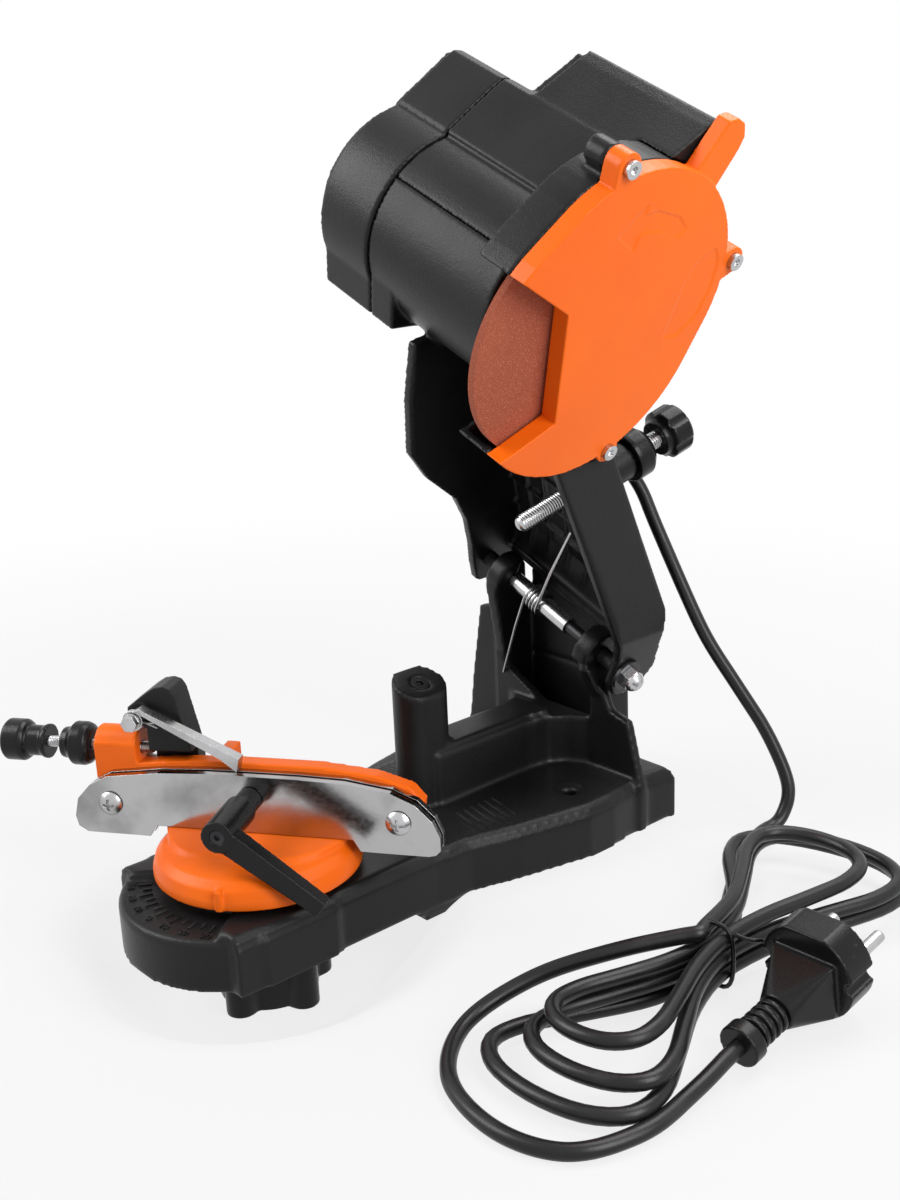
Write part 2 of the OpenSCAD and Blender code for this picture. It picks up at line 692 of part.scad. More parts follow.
// The opening of the guard at the front, where the wheel is bare
module guard_mouth(s = 0) {
  polygon([[-150, sc + 46], [sb - 49.2 - s, sc + 30.5 + s], [sb - 22 + s, sc + 15.5 + s],
    [sb - 11 + s, sc - 33 - s], [sb - 34 - s, sc - 45.5 - s], [-150, sc - 62]]);
}

// Screw ear at a radius and an angle round a centre
function ear(b, c, r, turn) = [b + r * cos(turn), c + r * sin(turn)];
ear_top = ear(sb + 9.3, sc + 17, guard_r + 0.4, 111.8);
ear_right = ear(sb + 9.3, sc + 17, guard_r - 0.2, 12);
ear_low = ear(sb, sc, guard_r + 0.2, -62.8);
ears = [ear_top, ear_right, ear_low];

// The guard's outline with ears and the lifting tab
module guard_plan() {
  difference() {
    union() {
      guard_round();
      for (e = ears) hull() {
        translate(e) circle(r = 5.6, $fn = 24);
        translate([sb + (e[0] - sb) * 0.8, sc + (e[1] - sc) * 0.8]) circle(r = 6.5, $fn = 24);
      }
    }
    guard_mouth();
  }
}

module wheel_guard() {
  color([1, 0.42, 0.05]) head() difference() {
    union() {
      along(collar_a + 0.1, guard_a) guard_plan();
      // lifting tab at the top right
      along(collar_a + 1, guard_a - 0.6) polygon([[sb + 22, sc + 60], [sb + 36, sc + 87],
        [sb + 40.5, sc + 88], [sb + 45, sc + 86], [sb + 47.5, sc + 81], [sb + 46.5, sc + 76],
        [sb + 37, sc + 54]]);
    }
    // inside
    along(collar_a - 1, guard_in) difference() {
      offset(delta = -guard_wall) difference() {
        guard_round();
        guard_mouth();
      }
      for (e = ears) translate(e) circle(r = 5, $fn = 24);
    }
    // turning direction arrow, sunk
    along(guard_a - 0.5, guard_a + 1) {
      polygon([[-62, 205], [-50, 218], [-50, 213], [-44, 214.5], [-30, 211], [-24, 206],
        [-28, 202], [-38, 205.5], [-46, 206], [-50, 205], [-51, 199]]);
      polygon([[-16, 158], [-14, 180], [-11, 190], [-1, 196], [3, 190], [4, 178], [1, 166],
        [-8, 158]]);
    }
    for (e = ears) rod_x(2.1, 5, 40, e[0], e[1]);
  }
}

module guard_screw(e) {
  color([0.8, 0.8, 0.8]) head() {
    rod_x(2, collar_a - 8, guard_a + 0.2, e[0], e[1]);
    translate([guard_a + 0.1, e[0], e[1]]) rotate([0, 90, 0]) cap_head(3.5, 2.2, 1.7);
  }
}

module guard_screw_top() { guard_screw(ear_top); }

module guard_screw_right() { guard_screw(ear_right); }

module guard_screw_low() { guard_screw(ear_low); }

// Outline of the motor tube with the box on its top, seen along the spindle
ridge1 = [tube_b + 13.5, tube_c + 63];
ridge2 = [tube_b + 39, tube_c + 80];
sw_b = ridge1[0] + 8;
sw_c = ridge1[1] - 28;
module tube_round(s = 0) { translate([tube_b, tube_c]) circle(r = tube_r - s, $fn = 72); }

module block1(s = 0) {
  polygon([[tube_b - 11 + s * 0.6, tube_c + 41 - s], [ridge1[0] - 5 + s * 0.4, ridge1[1] - 4.4 - s],
    [ridge1[0] - 1, ridge1[1] - 1.2 - s], [ridge1[0] + 4, ridge1[1] - 1.6 - s],
    [ridge1[0] + 18 - s, ridge1[1] - 12 - s], [ridge1[0] + 26 - s, ridge1[1] - 26],
    [tube_b + 39 - s, tube_c + 6], [tube_b, tube_c]]);
}

module block2(s = 0) {
  polygon([[ridge1[0] - 5 + s * 0.6, ridge1[1] - 4.4 - s], [ridge2[0] - 6 + s * 0.6, ridge2[1] - 3.6 - s],
    [ridge2[0] - 1, ridge2[1] - 0.6 - s], [ridge2[0] + 4 - s * 0.4, ridge2[1] - 2.6 - s],
    [ridge2[0] + 11 - s, ridge2[1] - 16], [ridge2[0] + 10 - s, ridge2[1] - 42],
    [tube_b + 39 - s, tube_c + 6], [tube_b + 4, tube_c + 30]]);
}

module skirt(s = 0) {
  polygon([[tube_b - 30.5 + s, sc - 32.6 + s], [tube_b - 36.5 + s, tube_c - 14],
    [tube_b - 40 + s, tube_c - 2], [tube_b, tube_c], [tube_b + 40 - s, tube_c - 2],
    [tube_b + 36 - s, sc - 32.6 + s]]);
}

// Which side of the seam of the tube: s = 1 above and behind, -1 below and in front
module seam_side(s) {
  translate([0, tube_b, tube_c]) rotate([-35.5, 0, 0])
    translate([-130, -150, s > 0 ? 0.1 : -200.1]) cube([200, 300, 200]);
}

module cap_inside() {
  tube_round(shell - 0.6);
  block1(shell);
  skirt(shell);
}

module end_cap() {
  color([0.12, 0.12, 0.13]) head() difference() {
    union() {
      along(cap_left + 3, cap_joint - 0.2) {
        tube_round(-1);
        block1();
        skirt();
      }
      along(cap_left, cap_left + 3.01) {
        tube_round(1.2);
        block1(2);
        skirt(2);
      }
    }
    along(cap_left + shell, cap_left + 15) difference() {
      cap_inside();
      translate([sb, sc]) circle(r = 14.4);
    }
    along(cap_left + 14.9, cap_joint + 1) cap_inside();
    // seat of the left bearing
    rod_x(11, cap_left + 7, cap_joint + 1, sb, sc);
    rod_x(spindle_d / 2 + 1, cap_left + 5, cap_joint + 1, sb, sc);
    // opening of the switch
    translate([cap_left - 1, sw_b - 6.5, sw_c - 10.5]) cube([6, 13, 21]);
  }
}

// Upper shell of the motor tube, with the box on top
module motor_cover() {
  color([0.12, 0.12, 0.13]) head() difference() {
    union() {
      along(cap_joint + 0.1, -4.2) {
        tube_round();
        block1();
      }
      along(-58, collar_a - 0.2) block2();
      along(-64, -57.9) block2(3);
    }
    along(cap_joint - 1, 0) tube_round(shell);
    along(cap_joint - 1, -7) block1(shell);
    along(-54, collar_a - 3.2) block2(shell);
    // room of the wheel and its collar
    along(-4.4, 30) guard_round(0.3);
    gland_hole();
    intersection() {
      seam_side(-1);
      along(cap_joint - 1, 0) tube_round(-2);
    }
  }
}

// Arm plates, web and lower tube half in one moulding, with the collar
module head_frame() {
  color([0.12, 0.12, 0.13]) head() difference() {
    union() {
      // lower half of the motor tube and the skirt by the end cap
      intersection() {
        along(cap_joint + 0.1, -3) tube_round();
        seam_side(-1);
      }
      intersection() {
        along(cap_joint + 0.1, -61) skirt();
        seam_side(-1);
      }
      // collar and back plate of the wheel
      along(-4.1, collar_a) difference() {
        guard_round();
        guard_mouth(-0.2);
      }
      for (e = ears) rod_x(5.6, 3, collar_a, e[0], e[1]);
      for (e = ears) hull() {
        rod_x(3.6, 3, collar_a - 0.5, e[0], e[1], $fn = 24);
        rod_x(3.6, 3, collar_a - 0.5, sb + (e[0] - sb) * 0.84, sc + (e[1] - sc) * 0.84, $fn = 24);
      }
      // left arm
      along(-arm_half, -arm_in) polygon([[-4, -13], [-9, -3], [-14, 9.6], [-22.4, 26.2],
        [-33.9, 41.2], [-55.3, 56.8], [-62, 64], [-69.3, 71.7], [-78, 100], [-83, 128],
        [-60, 134], [-30, 131], [-22, 118], [-10, 90], [3, 61], [17.6, 32], [18.6, 16.8],
        [21, -2], [14, -11], [5, -14]]);
      // right arm: upright at the axle, then slanting in to the collar
      along(arm_in, arm_half) polygon([[-11.1, 20], [-7.3, 8.5], [-6.6, -5.8], [-3, -12],
        [5, -14], [14, -11.5], [19, -5], [21, -1.6], [18.6, 16.8], [18.7, 20]]);
      hull() {
        translate([arm_in, -11.1, 18.6]) cube([arm_t, 29.8, 1.4]);
        translate([arm_in - 3, -13.5, 28]) cube([arm_t, 32, 1.4]);
        translate([14, -49, 97]) cube([arm_t, 33, 1]);
        translate([8.4, -54, 109]) cube([arm_t, 34, 1]);
      }
      // web between the arms, with its stiffening ribs
      hull() {
        translate([-arm_half, 12.5, 24]) cube([arm_half + arm_in + 1, 3, 1]);
        translate([-arm_half, -42, 127]) cube([arm_half + 4, 3, 1]);
        translate([-arm_half, -34, 112]) cube([arm_half + 10, 3, 1]);
      }
      along(-arm_in - 1, arm_in + 1) polygon([[13.6, 6.6], [16.6, 6.6], [15.5, 25], [12.4, 25]]);
      // rounded foot of the web
      rod_x(2.6, -arm_in - 1, arm_in + 1, 15, 6.6);
      // boss of the depth bolt
      translate([depth_a, tip_b, tip_c]) rotate([depth_slope, 0, 0])
        rod_y(9, 33.5, 62);
      // seat of the right bearing
      rod_x(14, -13, -1.5, sb, sc);
      web_ribs();
    }
    // inside of the tube and of the collar
    along(cap_joint - 1, -13) tube_round(shell);
    along(-13.1, -4.1) difference() {
      tube_round(shell);
      translate([sb, sc]) circle(r = 14);
    }
    // air holes of the fan
    for (k = [0:7]) rod_x(4, -6, 0, sb + 22 * cos(k * 45), sc + 22 * sin(k * 45));
    along(cap_joint - 1, -61 - shell) intersection() {
      skirt(shell);
      translate([-200, 90]) square([400, 80]);
    }
    along(-1.5, 20) difference() {
      offset(delta = -shell) guard_round();
      for (e = ears) translate(e) circle(r = 5, $fn = 24);
    }
    rod_x(11, -12, -5, sb, sc);
    rod_x(7.6, -6, 5, sb, sc);
    rod_x(spindle_d / 2 + 0.5, -20, 5, sb, sc);
    // screw holes of the guard
    for (e = ears) rod_x(2, 4, 20, e[0], e[1]);
    // bores of the axle and of the depth bolt
    rod_x(axle_d / 2 + run_fit, -arm_half - 1, arm_half + 1);
    translate([depth_a, tip_b, tip_c]) rotate([depth_slope, 0, 0])
      rod_y(depth_d / 2 + run_fit, 20, 80);
    gland_hole();
    // shoulder of the right arm under the wheel guard
    translate([collar_a, -120, sc - guard_r - 0.4]) cube([30, 200, 40]);
  }
}

// Ribs on the front of the web: long ones up it and short ones across
module web_ribs() {
  for (a = [-36, -23, -10, 3])
    along(a, a + 1.6)
      polygon([[12.4, 14], [15, 14], [14, 25], [-26, 106], [-32.4, 106], [6, 34], [11.2, 24.5]]);
  for (c = [32, 48, 64, 80, 96]) translate([-arm_in, 14.5 - 0.533 * (c - 25) - 5.5, c])
    cube([arm_in + 20 - (c - 48) * 0.25, 6, 1.6]);
}

module stator() {
  color([0.45, 0.45, 0.48]) head() difference() {
    rod_x(31.4, -66, -34, sb, sc);
    rod_x(18.2, -67, -30, sb, sc);
  }
}

module bearing(a0) {
  color([0.75, 0.75, 0.75]) head() difference() {
    rod_x(11, a0, a0 + 7, sb, sc);
    rod_x(spindle_d / 2 + run_fit, a0 - 1, a0 + 8, sb, sc);
  }
}

module bearing_right() { bearing(-12); }

module bearing_left() { bearing(cap_left + 7); }

// Carbon brushes in the cap, on both sides of the commutator
module brush(b0) {
  color([0.2, 0.2, 0.2]) head() translate([cap_left + 23, b0, sc - 3]) cube([6, 22, 6]);
}

module brush_front() { brush(sb - 12.4 - 22); }

module brush_back() { brush(sb + 12.4); }

module switch_body() {
  color([0.12, 0.12, 0.12]) head() difference() {
    translate([cap_left + shell, sw_b - 7.2, sw_c - 11.2]) cube([20, 14.4, 22.4]);
    translate([cap_left - 1, sw_b - 5.6, sw_c - 10.1]) cube([shell + 12, 11.2, 20.2]);
    rod_y(1.6 + run_fit, sw_b - 10, sw_b + 10, cap_left + 8, sw_c);
  }
}

// Rocker of the switch, on the left end of the cap
module switch_rocker() {
  color([0.1, 0.1, 0.1]) head() {
    translate([0, sw_b + 5.3, 0]) rotate([90, 0, 0]) linear_extrude(10.6)
      polygon([[cap_left + 1, sw_c - 8.1], [cap_left - 2, sw_c - 4], [cap_left - 1, sw_c],
        [cap_left + 0.6, sw_c + 7.1], [cap_left + 6, sw_c + 5.7], [cap_left + 9.6, sw_c + 2.5],
        [cap_left + 9.6, sw_c - 2.5], [cap_left + 6, sw_c - 6.5]]);
    rod_y(1.6, sw_b - 7, sw_b + 7, cap_left + 8, sw_c);
  }
}

// Rubber sleeve where the cord leaves the housing, at the seam of its halves
gland_p = [-9.8, -20, 133];
gland_tilt = 48;
gland_len = 24;
module at_gland() { head() translate(gland_p) rotate([-gland_tilt, 0, 0]) children(); }

module gland_hole() {
  translate(gland_p) rotate([-gland_tilt, 0, 0]) {
    rod_y(4.6, -16, gland_len);
    rod_y(5.4, -9.3, -6.9);
  }
}

module cord_gland() {
  color([0.07, 0.07, 0.07]) at_gland() difference() {
    union() {
      rod_y(4.5, -11, gland_len);
      rod_y(5.3, -9.2, -7);
      for (k = [0:3]) rod_y(5.3, 1 + k * 4.6, 3.4 + k * 4.6);
    }
    rod_y(cord_r, gland_len - 8, gland_len + 2);
  }
}

// ---- spindle ------------------------------------------------------------

module rotor() {
  color([0.6, 0.6, 0.62]) head() {
    rod_x(spindle_d / 2, cap_left + 7.5, guard_in - 0.4, sb, sc);
    difference() {
      rod_x(17.4, -66, -34, sb, sc);
      for (k = [0:11]) translate([-67, sb, sc]) rotate([k * 30, 0, 0])
        translate([0, 14.4, -1]) cube([34, 5, 2]);
    }
  }
}

module commutator() {
  color([0.72, 0.45, 0.2]) head() difference() {
    rod_x(12, -92, -76, sb, sc);
    rod_x(spindle_d / 2, -93, -70, sb, sc);
  }
}

module fan() {
  color([0.2, 0.2, 0.2]) head() difference() {
    union() {
      rod_x(8, -29, -17, sb, sc);
      rod_x(29, -19, -17, sb, sc);
      for (k = [0:8]) translate([-28, sb, sc]) rotate([k * 40, 0, 0])
        translate([0, 7, -0.8]) cube([10, 20, 1.6]);
    }
    rod_x(spindle_d / 2, -30, -10, sb, sc);
  }
}

module inner_flange() {
  color([0.6, 0.6, 0.62]) head() difference() {
    union() {
      rod_x(17, wheel_a - 3, wheel_a, sb, sc);
      rod_x(wheel_bore / 2 - 0.02, wheel_a - 0.5, wheel_a + wheel_t - 0.4, sb, sc);
      rod_x(7, -5 + gap, wheel_a - 2.9, sb, sc);
    }
    rod_x(spindle_d / 2, -10, 30, sb, sc);
  }
}

module grinding_wheel() {
  color([0.7, 0.32, 0.2]) head() difference() {
    rod_x(wheel_r, wheel_a, wheel_a + wheel_t, sb, sc, $fn = 96);
    rod_x(wheel_bore / 2, wheel_a - 1, wheel_a + wheel_t + 1, sb, sc);
  }
}

module outer_flange() {
  color([0.6, 0.6, 0.62]) head() difference() {
    rod_x(15, wheel_a + wheel_t, wheel_a + wheel_t + 2, sb, sc);
    rod_x(spindle_d / 2, -10, 30, sb, sc);
  }
}

module wheel_nut() {
  color([0.75, 0.75, 0.75]) head() difference() {
    translate([wheel_a + wheel_t + 2, sb, sc]) rotate([0, 90, 0]) cylinder(r = 7.4, h = 4, $fn = 6);
    rod_x(spindle_d / 2, -10, 30, sb, sc);
  }
}

// ---- depth stop ---------------------------------------------------------

module at_depth() {
  head() translate([depth_a, tip_b, tip_c]) rotate([depth_slope, 0, 0]) children();
}

module depth_bolt() {
  color([0.8, 0.8, 0.8]) at_depth() {
    rod_y(depth_d / 2, depth_d / 2, 92);
    translate([0, depth_d / 2, 0]) sphere(r = depth_d / 2);
  }
}

module depth_knob() {
  color([0.08, 0.08, 0.08]) at_depth() difference() {
    translate([0, 81, 0]) rotate([-90, 0, 0]) rotate_extrude()
      polygon([[0, 0], [8, 0], [8.6, 2.4], [11.4, 4], [11.4, 12.6], [10.2, 14], [0, 14]]);
    rod_y(depth_d / 2, 70, 92);
    for (k = [0:5]) rotate([0, k * 60, 0]) rod_y(3, 80, 97, 13.2);
  }
}

module depth_lock_knob() {
  color([0.08, 0.08, 0.08]) at_depth() difference() {
    translate([0, 62 + gap, 0]) rotate([-90, 0, 0]) rotate_extrude()
      polygon([[0, 0], [11.4, 0], [11.6, 2], [11.6, 8], [9, 11], [7, 12], [0, 12]]);
    rod_y(depth_d / 2 + run_fit, 60, 80);
  }
}

// ---- cord ---------------------------------------------------------------

// Catmull-Rom curve through hand-set points, n steps a leg
function cr(a, b, c, d, t) = 0.5 * ((2 * b) + (c - a) * t + (2 * a - 5 * b + 4 * c - d) * t * t
  + (3 * b - a - 3 * c + d) * t * t * t);
function curve(p, n) = [for (i = [0:len(p) - 2]) for (k = [0:n - 1])
    cr(p[max(i - 1, 0)], p[i], p[i + 1], p[min(i + 2, len(p) - 1)], k / n), p[len(p) - 1]];

// Hank: a bow of loops drawn together by the tie, rising from its first loop
tie_p = [166, 92];
tie_turn = 96;
// Each lobe: reach, half width and turn
lobes = [[101, 31, -4], [113, 36, 7], [90, 24, 1], [104, 29, 1], [80, 17, -3], [92, 21, 5]];
hank_low = cord_r + 1.3;
pinch = 3.6;
function lobe_pt(i, f) =
  let (l = lobes[i], s = i % 2 == 0 ? -1 : 1, u = s * l[0] * sin(f),
    w0 = (pinch + l[1] * 2.6 * sin(f) * sin(f)) * cos(f), w = s < 0 ? w0 : -w0,
    g = l[2] * sin(f), q = i + f / 180)
  [u * cos(g) - w * sin(g), u * sin(g) + w * cos(g), hank_low + loop_rise * q / 2];
hank_raw = [for (i = [0:len(lobes) - 1]) for (k = [0:11]) lobe_pt(i, k * 15)];
hank_end = [0, pinch, hank_low + loop_rise * len(lobes) / 2];
function place(p) = [tie_p[0] + p[0] * cos(tie_turn) - p[1] * sin(tie_turn),
  tie_p[1] + p[0] * sin(tie_turn) + p[1] * cos(tie_turn), p[2]];
hank_pts = [for (p = concat(hank_raw, [hank_end])) place(p)];

// Least distance between parts of the hank's centre line more than 4 legs apart
function seg_gap(p, q) = min([for (s = [0, 0.5]) for (t = [0, 0.5])
  norm((p[0] * (1 - s) + p[1] * s) - (q[0] * (1 - t) + q[1] * t))]);
hank_gap = min([for (i = [0:len(hank_pts) - 2]) for (j = [i + 5:1:len(hank_pts) - 2])
  seg_gap([hank_pts[i], hank_pts[i + 1]], [hank_pts[j], hank_pts[j + 1]])]) - cord_d;

module cord_hank() {
  echo(hank_gap = hank_gap);
  color([0.05, 0.05, 0.05]) tube(hank_pts, cord_r, 6);
}

// Free cord from the gland, down behind the arm and round to the tie
function out_of_head(p) = [p[0] * cos(head_tilt) + p[2] * sin(head_tilt), axle_y + p[1],
  axle_z - p[0] * sin(head_tilt) + p[2] * cos(head_tilt)];
gland_dir = [0, cos(gland_tilt), -sin(gland_tilt)];
free_start = out_of_head(gland_p + gland_dir * (gland_len - 8));
free_second = out_of_head(gland_p + gland_dir * (gland_len + 2));
hank_in = unit(hank_pts[1] - hank_pts[0]);
free_route = [free_second, [26, 184, 186], [23, 195, 170], [29, 204, 153], [38, 205, 136],
  [56, 207, 103], [66, 210, 84], [80, 215, 63], [92, 221, 42], [103, 222, 20], [104, 215, 6],
  [103, 202, cord_r], [112, 178, cord_r], [132, 143, cord_r], hank_pts[0] - hank_in * 6.5];
free_pts = concat([free_start], curve(free_route, 3), [hank_pts[0]]);
module cord_free() { color([0.05, 0.05, 0.05]) tube(free_pts, cord_r, 8); }

// Last stretch, out of the left lobe and along the bench to the plug
tail_start = hank_pts[len(hank_pts) - 1];
tail_in = unit(tail_start - hank_pts[len(hank_pts) - 2]);
plug_p = [204, 58, 8];
plug_turn = 2;
plug_tilt = 9;
plug_dir = [-sin(plug_turn) * cos(plug_tilt), cos(plug_turn) * cos(plug_tilt), sin(plug_tilt)];
tail_route = [tail_start + tail_in * 6.5, [146, 60, 21], [128, 34, 13], [123, 4, 5],
  [141, -20, cord_r], [172, -28, cord_r], [197, -19, cord_r], [207, 6, cord_r],
  [206, 32, 4.4], plug_p - plug_dir * 6.5];
tail_pts = concat([tail_start], curve(tail_route, 4), [plug_p]);
module cord_tail() { color([0.05, 0.05, 0.05]) tube(tail_pts, cord_r, 8); }

// Twist tie round the hank, its two ends twisted and bent over
module cord_tie() {
  tie_w = pinch + cord_r + 1.1;
  tie_h = cord_d + loop_rise * len(lobes) / 2;
  color([0.04, 0.04, 0.04]) translate([tie_p[0], tie_p[1], 0]) rotate([0, 0, tie_turn]) {
    translate([-1.6, 0, 0]) along(0, 3.2) difference() {
      translate([-tie_w - 1, 0]) square([2 * tie_w + 2, tie_h + 2.4]);
      translate([-tie_w, 1]) square([2 * tie_w, tie_h + 0.5]);
    }
    translate([-1, -tie_w - 6, tie_h]) cube([2, 8, 1.6]);
  }
}

// Moulded plug with two pins, lying on its flange
module plug() {
  flange = 46;
  color([0.08, 0.08, 0.08]) translate(plug_p) rotate([0, 0, plug_turn]) rotate([plug_tilt, 0, 0]) {
    rod_y(8, 0, 6);
    rod_y(5, 5, 24);
    for (k = [0:3]) rod_y(6.6, 8 + k * 3.6, 10 + k * 3.6);
    hull() {
      rod_y(7, 22, 24, $fn = 32);
      translate([-12.5, 40, -9]) cube([25, 2, 22]);
    }
    difference() {
      intersection() {
        rod_y(plug_d / 2, 42, 56, 0, 4.4);
        translate([-plug_d / 2, 40, -plug_d / 2 + 5.6]) cube([plug_d, 20, plug_d - 3]);
      }
      for (s = [-1, 1]) translate([s * 19, 40, 4.4]) rotate([-90, 0, 0]) cylinder(r = 3, h = 20);
    }
  }
  color([0.8, 0.8, 0.8]) translate(plug_p) rotate([0, 0, plug_turn]) rotate([plug_tilt, 0, 0])
    for (s = [-1, 1]) rod_y(2.4, 50, 75, s * 9.5, 4.4);
}

base();
tower_web();
post_screw();
axle_bolt();
axle_nut();
axle_washer();
spacer_tube();
sleeve_left();
sleeve_right();
tilt_spring();
vise_body();
swivel_stud();
rear_plate();
front_plate();
plate_screw_left();
plate_screw_right();
guide_pin();
clamp_lever();
clamp_stud();
clamp_screw();
stop_carrier();
pawl_bolt();
pawl();
pawl_spring();
stop_screw();
stop_knob();
stop_lock_knob();
lock_knob();
lock_insert();
head_frame();
motor_cover();
end_cap();
wheel_guard();
guard_screw_top();
guard_screw_right();
guard_screw_low();
stator();
bearing_right();
bearing_left();
brush_front();
brush_back();
switch_body();
switch_rocker();
cord_gland();
rotor();
commutator();
fan();
inner_flange();
grinding_wheel();
outer_flange();
wheel_nut();
depth_bolt();
depth_knob();
depth_lock_knob();
cord_free();
cord_hank();
cord_tie();
cord_tail();
plug();
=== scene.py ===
# An electric chainsaw sharpener: a grinding head that swings down on a sloped
# axle, over a vise that holds the chain. Pieces are built in millimetres until
# they are placed. The camera, the lamps, the patterns of the materials and
# every finished mesh are in metres, in the part's frame.
import math

import bmesh
import bpy
from mathutils import Matrix, Vector


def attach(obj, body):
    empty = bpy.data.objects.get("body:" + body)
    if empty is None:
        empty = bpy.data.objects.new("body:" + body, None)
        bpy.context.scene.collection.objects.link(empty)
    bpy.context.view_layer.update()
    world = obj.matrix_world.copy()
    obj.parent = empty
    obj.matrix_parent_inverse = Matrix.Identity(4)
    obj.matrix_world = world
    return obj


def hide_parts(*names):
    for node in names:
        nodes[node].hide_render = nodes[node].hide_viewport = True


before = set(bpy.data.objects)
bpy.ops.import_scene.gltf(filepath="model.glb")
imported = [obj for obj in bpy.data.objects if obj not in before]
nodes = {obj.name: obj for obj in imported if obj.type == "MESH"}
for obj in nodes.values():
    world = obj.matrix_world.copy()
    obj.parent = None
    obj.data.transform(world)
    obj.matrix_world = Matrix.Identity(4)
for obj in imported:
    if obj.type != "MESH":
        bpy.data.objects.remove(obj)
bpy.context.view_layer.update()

# ---- Camera ---------------------------------------------------------------
# The sharpener is seen from its front right corner, a little from above, with
# the wheel guard facing the lens and the vise at the lower left.


def add(name, data):
    """An object of a mesh, a curve, a lamp or a camera, linked to the scene."""
    piece = bpy.data.objects.new(name, data)
    bpy.context.scene.collection.objects.link(piece)
    return piece


camera = add("camera", bpy.data.cameras.new("camera"))
camera.data.sensor_fit = "VERTICAL"
camera.data.sensor_height = 36
camera.data.lens = 45
camera.data.clip_end = 60
camera.location = (0.482334, -0.302895, 0.315985)
camera.rotation_euler = [math.radians(angle) for angle in (72.4043, 2.3647, 48.642)]
bpy.context.scene.camera = camera
bpy.context.scene.view_settings.view_transform = "Standard"

# ---- Mains cord -----------------------------------------------------------
# A two metre rubber lead leaves the head where its housings meet, hangs behind
# the tower, and lies on the bench in three long loops held by a twist tie, with
# its moulded plug beside them.
MM = Matrix.Scale(0.001, 4)
HEAD = Matrix.Translation((0, 173.4, 94.5)) @ Matrix.Rotation(math.radians(23.4), 4, "Y")
GLAND = HEAD @ Matrix.Translation((-9.8, -20, 133)) @ Matrix.Rotation(math.radians(-48), 4, "X")
HANK = Matrix.Translation((166, 92, 0)) @ Matrix.Rotation(math.radians(96), 4, "Z")
PLUG = (Matrix.Translation((204, 58, 8)) @ Matrix.Rotation(math.radians(2), 4, "Z")
        @ Matrix.Rotation(math.radians(9), 4, "X"))
CORD_R = 3.1


def smooth_line(points, steps):
    """A line through given points, with that many steps from each to the next."""
    line = []
    for i in range(len(points) - 1):
        a, b, c, d = (points[j] for j in (max(i - 1, 0), i, i + 1, min(i + 2, len(points) - 1)))
        for k in range(steps):
            t = k / steps
            line.append(0.5 * (2 * b + (c - a) * t + (2 * a - 5 * b + 4 * c - d) * t * t
                               + (3 * b - a - 3 * c + d) * t * t * t))
    return line + [points[-1]]


def hank_line():
    """The three loops of the hank: six lobes, each with its reach, half width and turn."""
    lobes = [(101, 31, -4), (113, 36, 7), (90, 24, 1), (104, 29, 1), (80, 17, -3), (92, 21, 5)]
    steps = 12
    neck = 3.6
    fullness = 2.6
    lowest = 4.4
    loop_rise = 6.9
    line = []
    for i, (reach, half, turn) in enumerate(lobes):
        side = -1 if i % 2 == 0 else 1
        for k in range(steps):
            f = math.radians(180 * k / steps)
            u = side * reach * math.sin(f)
            w = (neck + half * fullness * math.sin(f) ** 2) * math.cos(f) * -side
            g = math.radians(turn * math.sin(f))
            height = lowest + loop_rise * (i + k / steps) / 2
            line.append(HANK @ Vector((u * math.cos(g) - w * math.sin(g),
                                       u * math.sin(g) + w * math.cos(g), height)))
    return line + [HANK @ Vector((0, neck, lowest + loop_rise * len(lobes) / 2))]


# The cord starts inside its sleeve on the head. Where one stretch runs on into
# the next, a point a little way off keeps the join straight.
JOIN = 6.5
cord_start = GLAND @ Vector((0, 16, 0))
sleeve_end = GLAND @ Vector((0, 26, 0))
hank = hank_line()
hank_in = hank[0] - (hank[1] - hank[0]).normalized() * JOIN
hank_out = hank[-1] + (hank[-1] - hank[-2]).normalized() * JOIN
plug_end = PLUG.to_translation()
plug_in = plug_end - PLUG.col[1].to_3d() * JOIN
down_line = [Vector(p) for p in (
    (26, 184, 186), (23, 195, 170), (29, 204, 153), (38, 205, 136), (56, 207, 103),
    (66, 210, 84), (80, 215, 63), (92, 221, 42), (103, 222, 20), (104, 215, 6),
    (103, 202, CORD_R), (112, 178, CORD_R), (132, 143, CORD_R))]
tail_line = [Vector(p) for p in (
    (146, 60, 21), (128, 34, 13), (123, 4, 5), (141, -20, CORD_R), (172, -28, CORD_R),
    (197, -19, CORD_R), (207, 6, CORD_R), (206, 32, 4.4))]
route = ([cord_start] + smooth_line([sleeve_end] + down_line + [hank_in], 3)
         + hank + smooth_line([hank_out] + tail_line + [plug_in], 4) + [plug_end])
route = smooth_line(route, 4)


def cord_curve(name, points, radius, sides=3):
    """A round cord or wire along a line of points."""
    curve = bpy.data.curves.new(name, "CURVE")
    curve.dimensions = "3D"
    curve.bevel_depth = radius * 0.001
    curve.bevel_resolution = sides
    curve.use_fill_caps = True
    spline = curve.splines.new("POLY")
    spline.points.add(len(points) - 1)
    for point, place in zip(spline.points, points):
        point.co = (*(place * 0.001), 1)
    return add(name, curve)


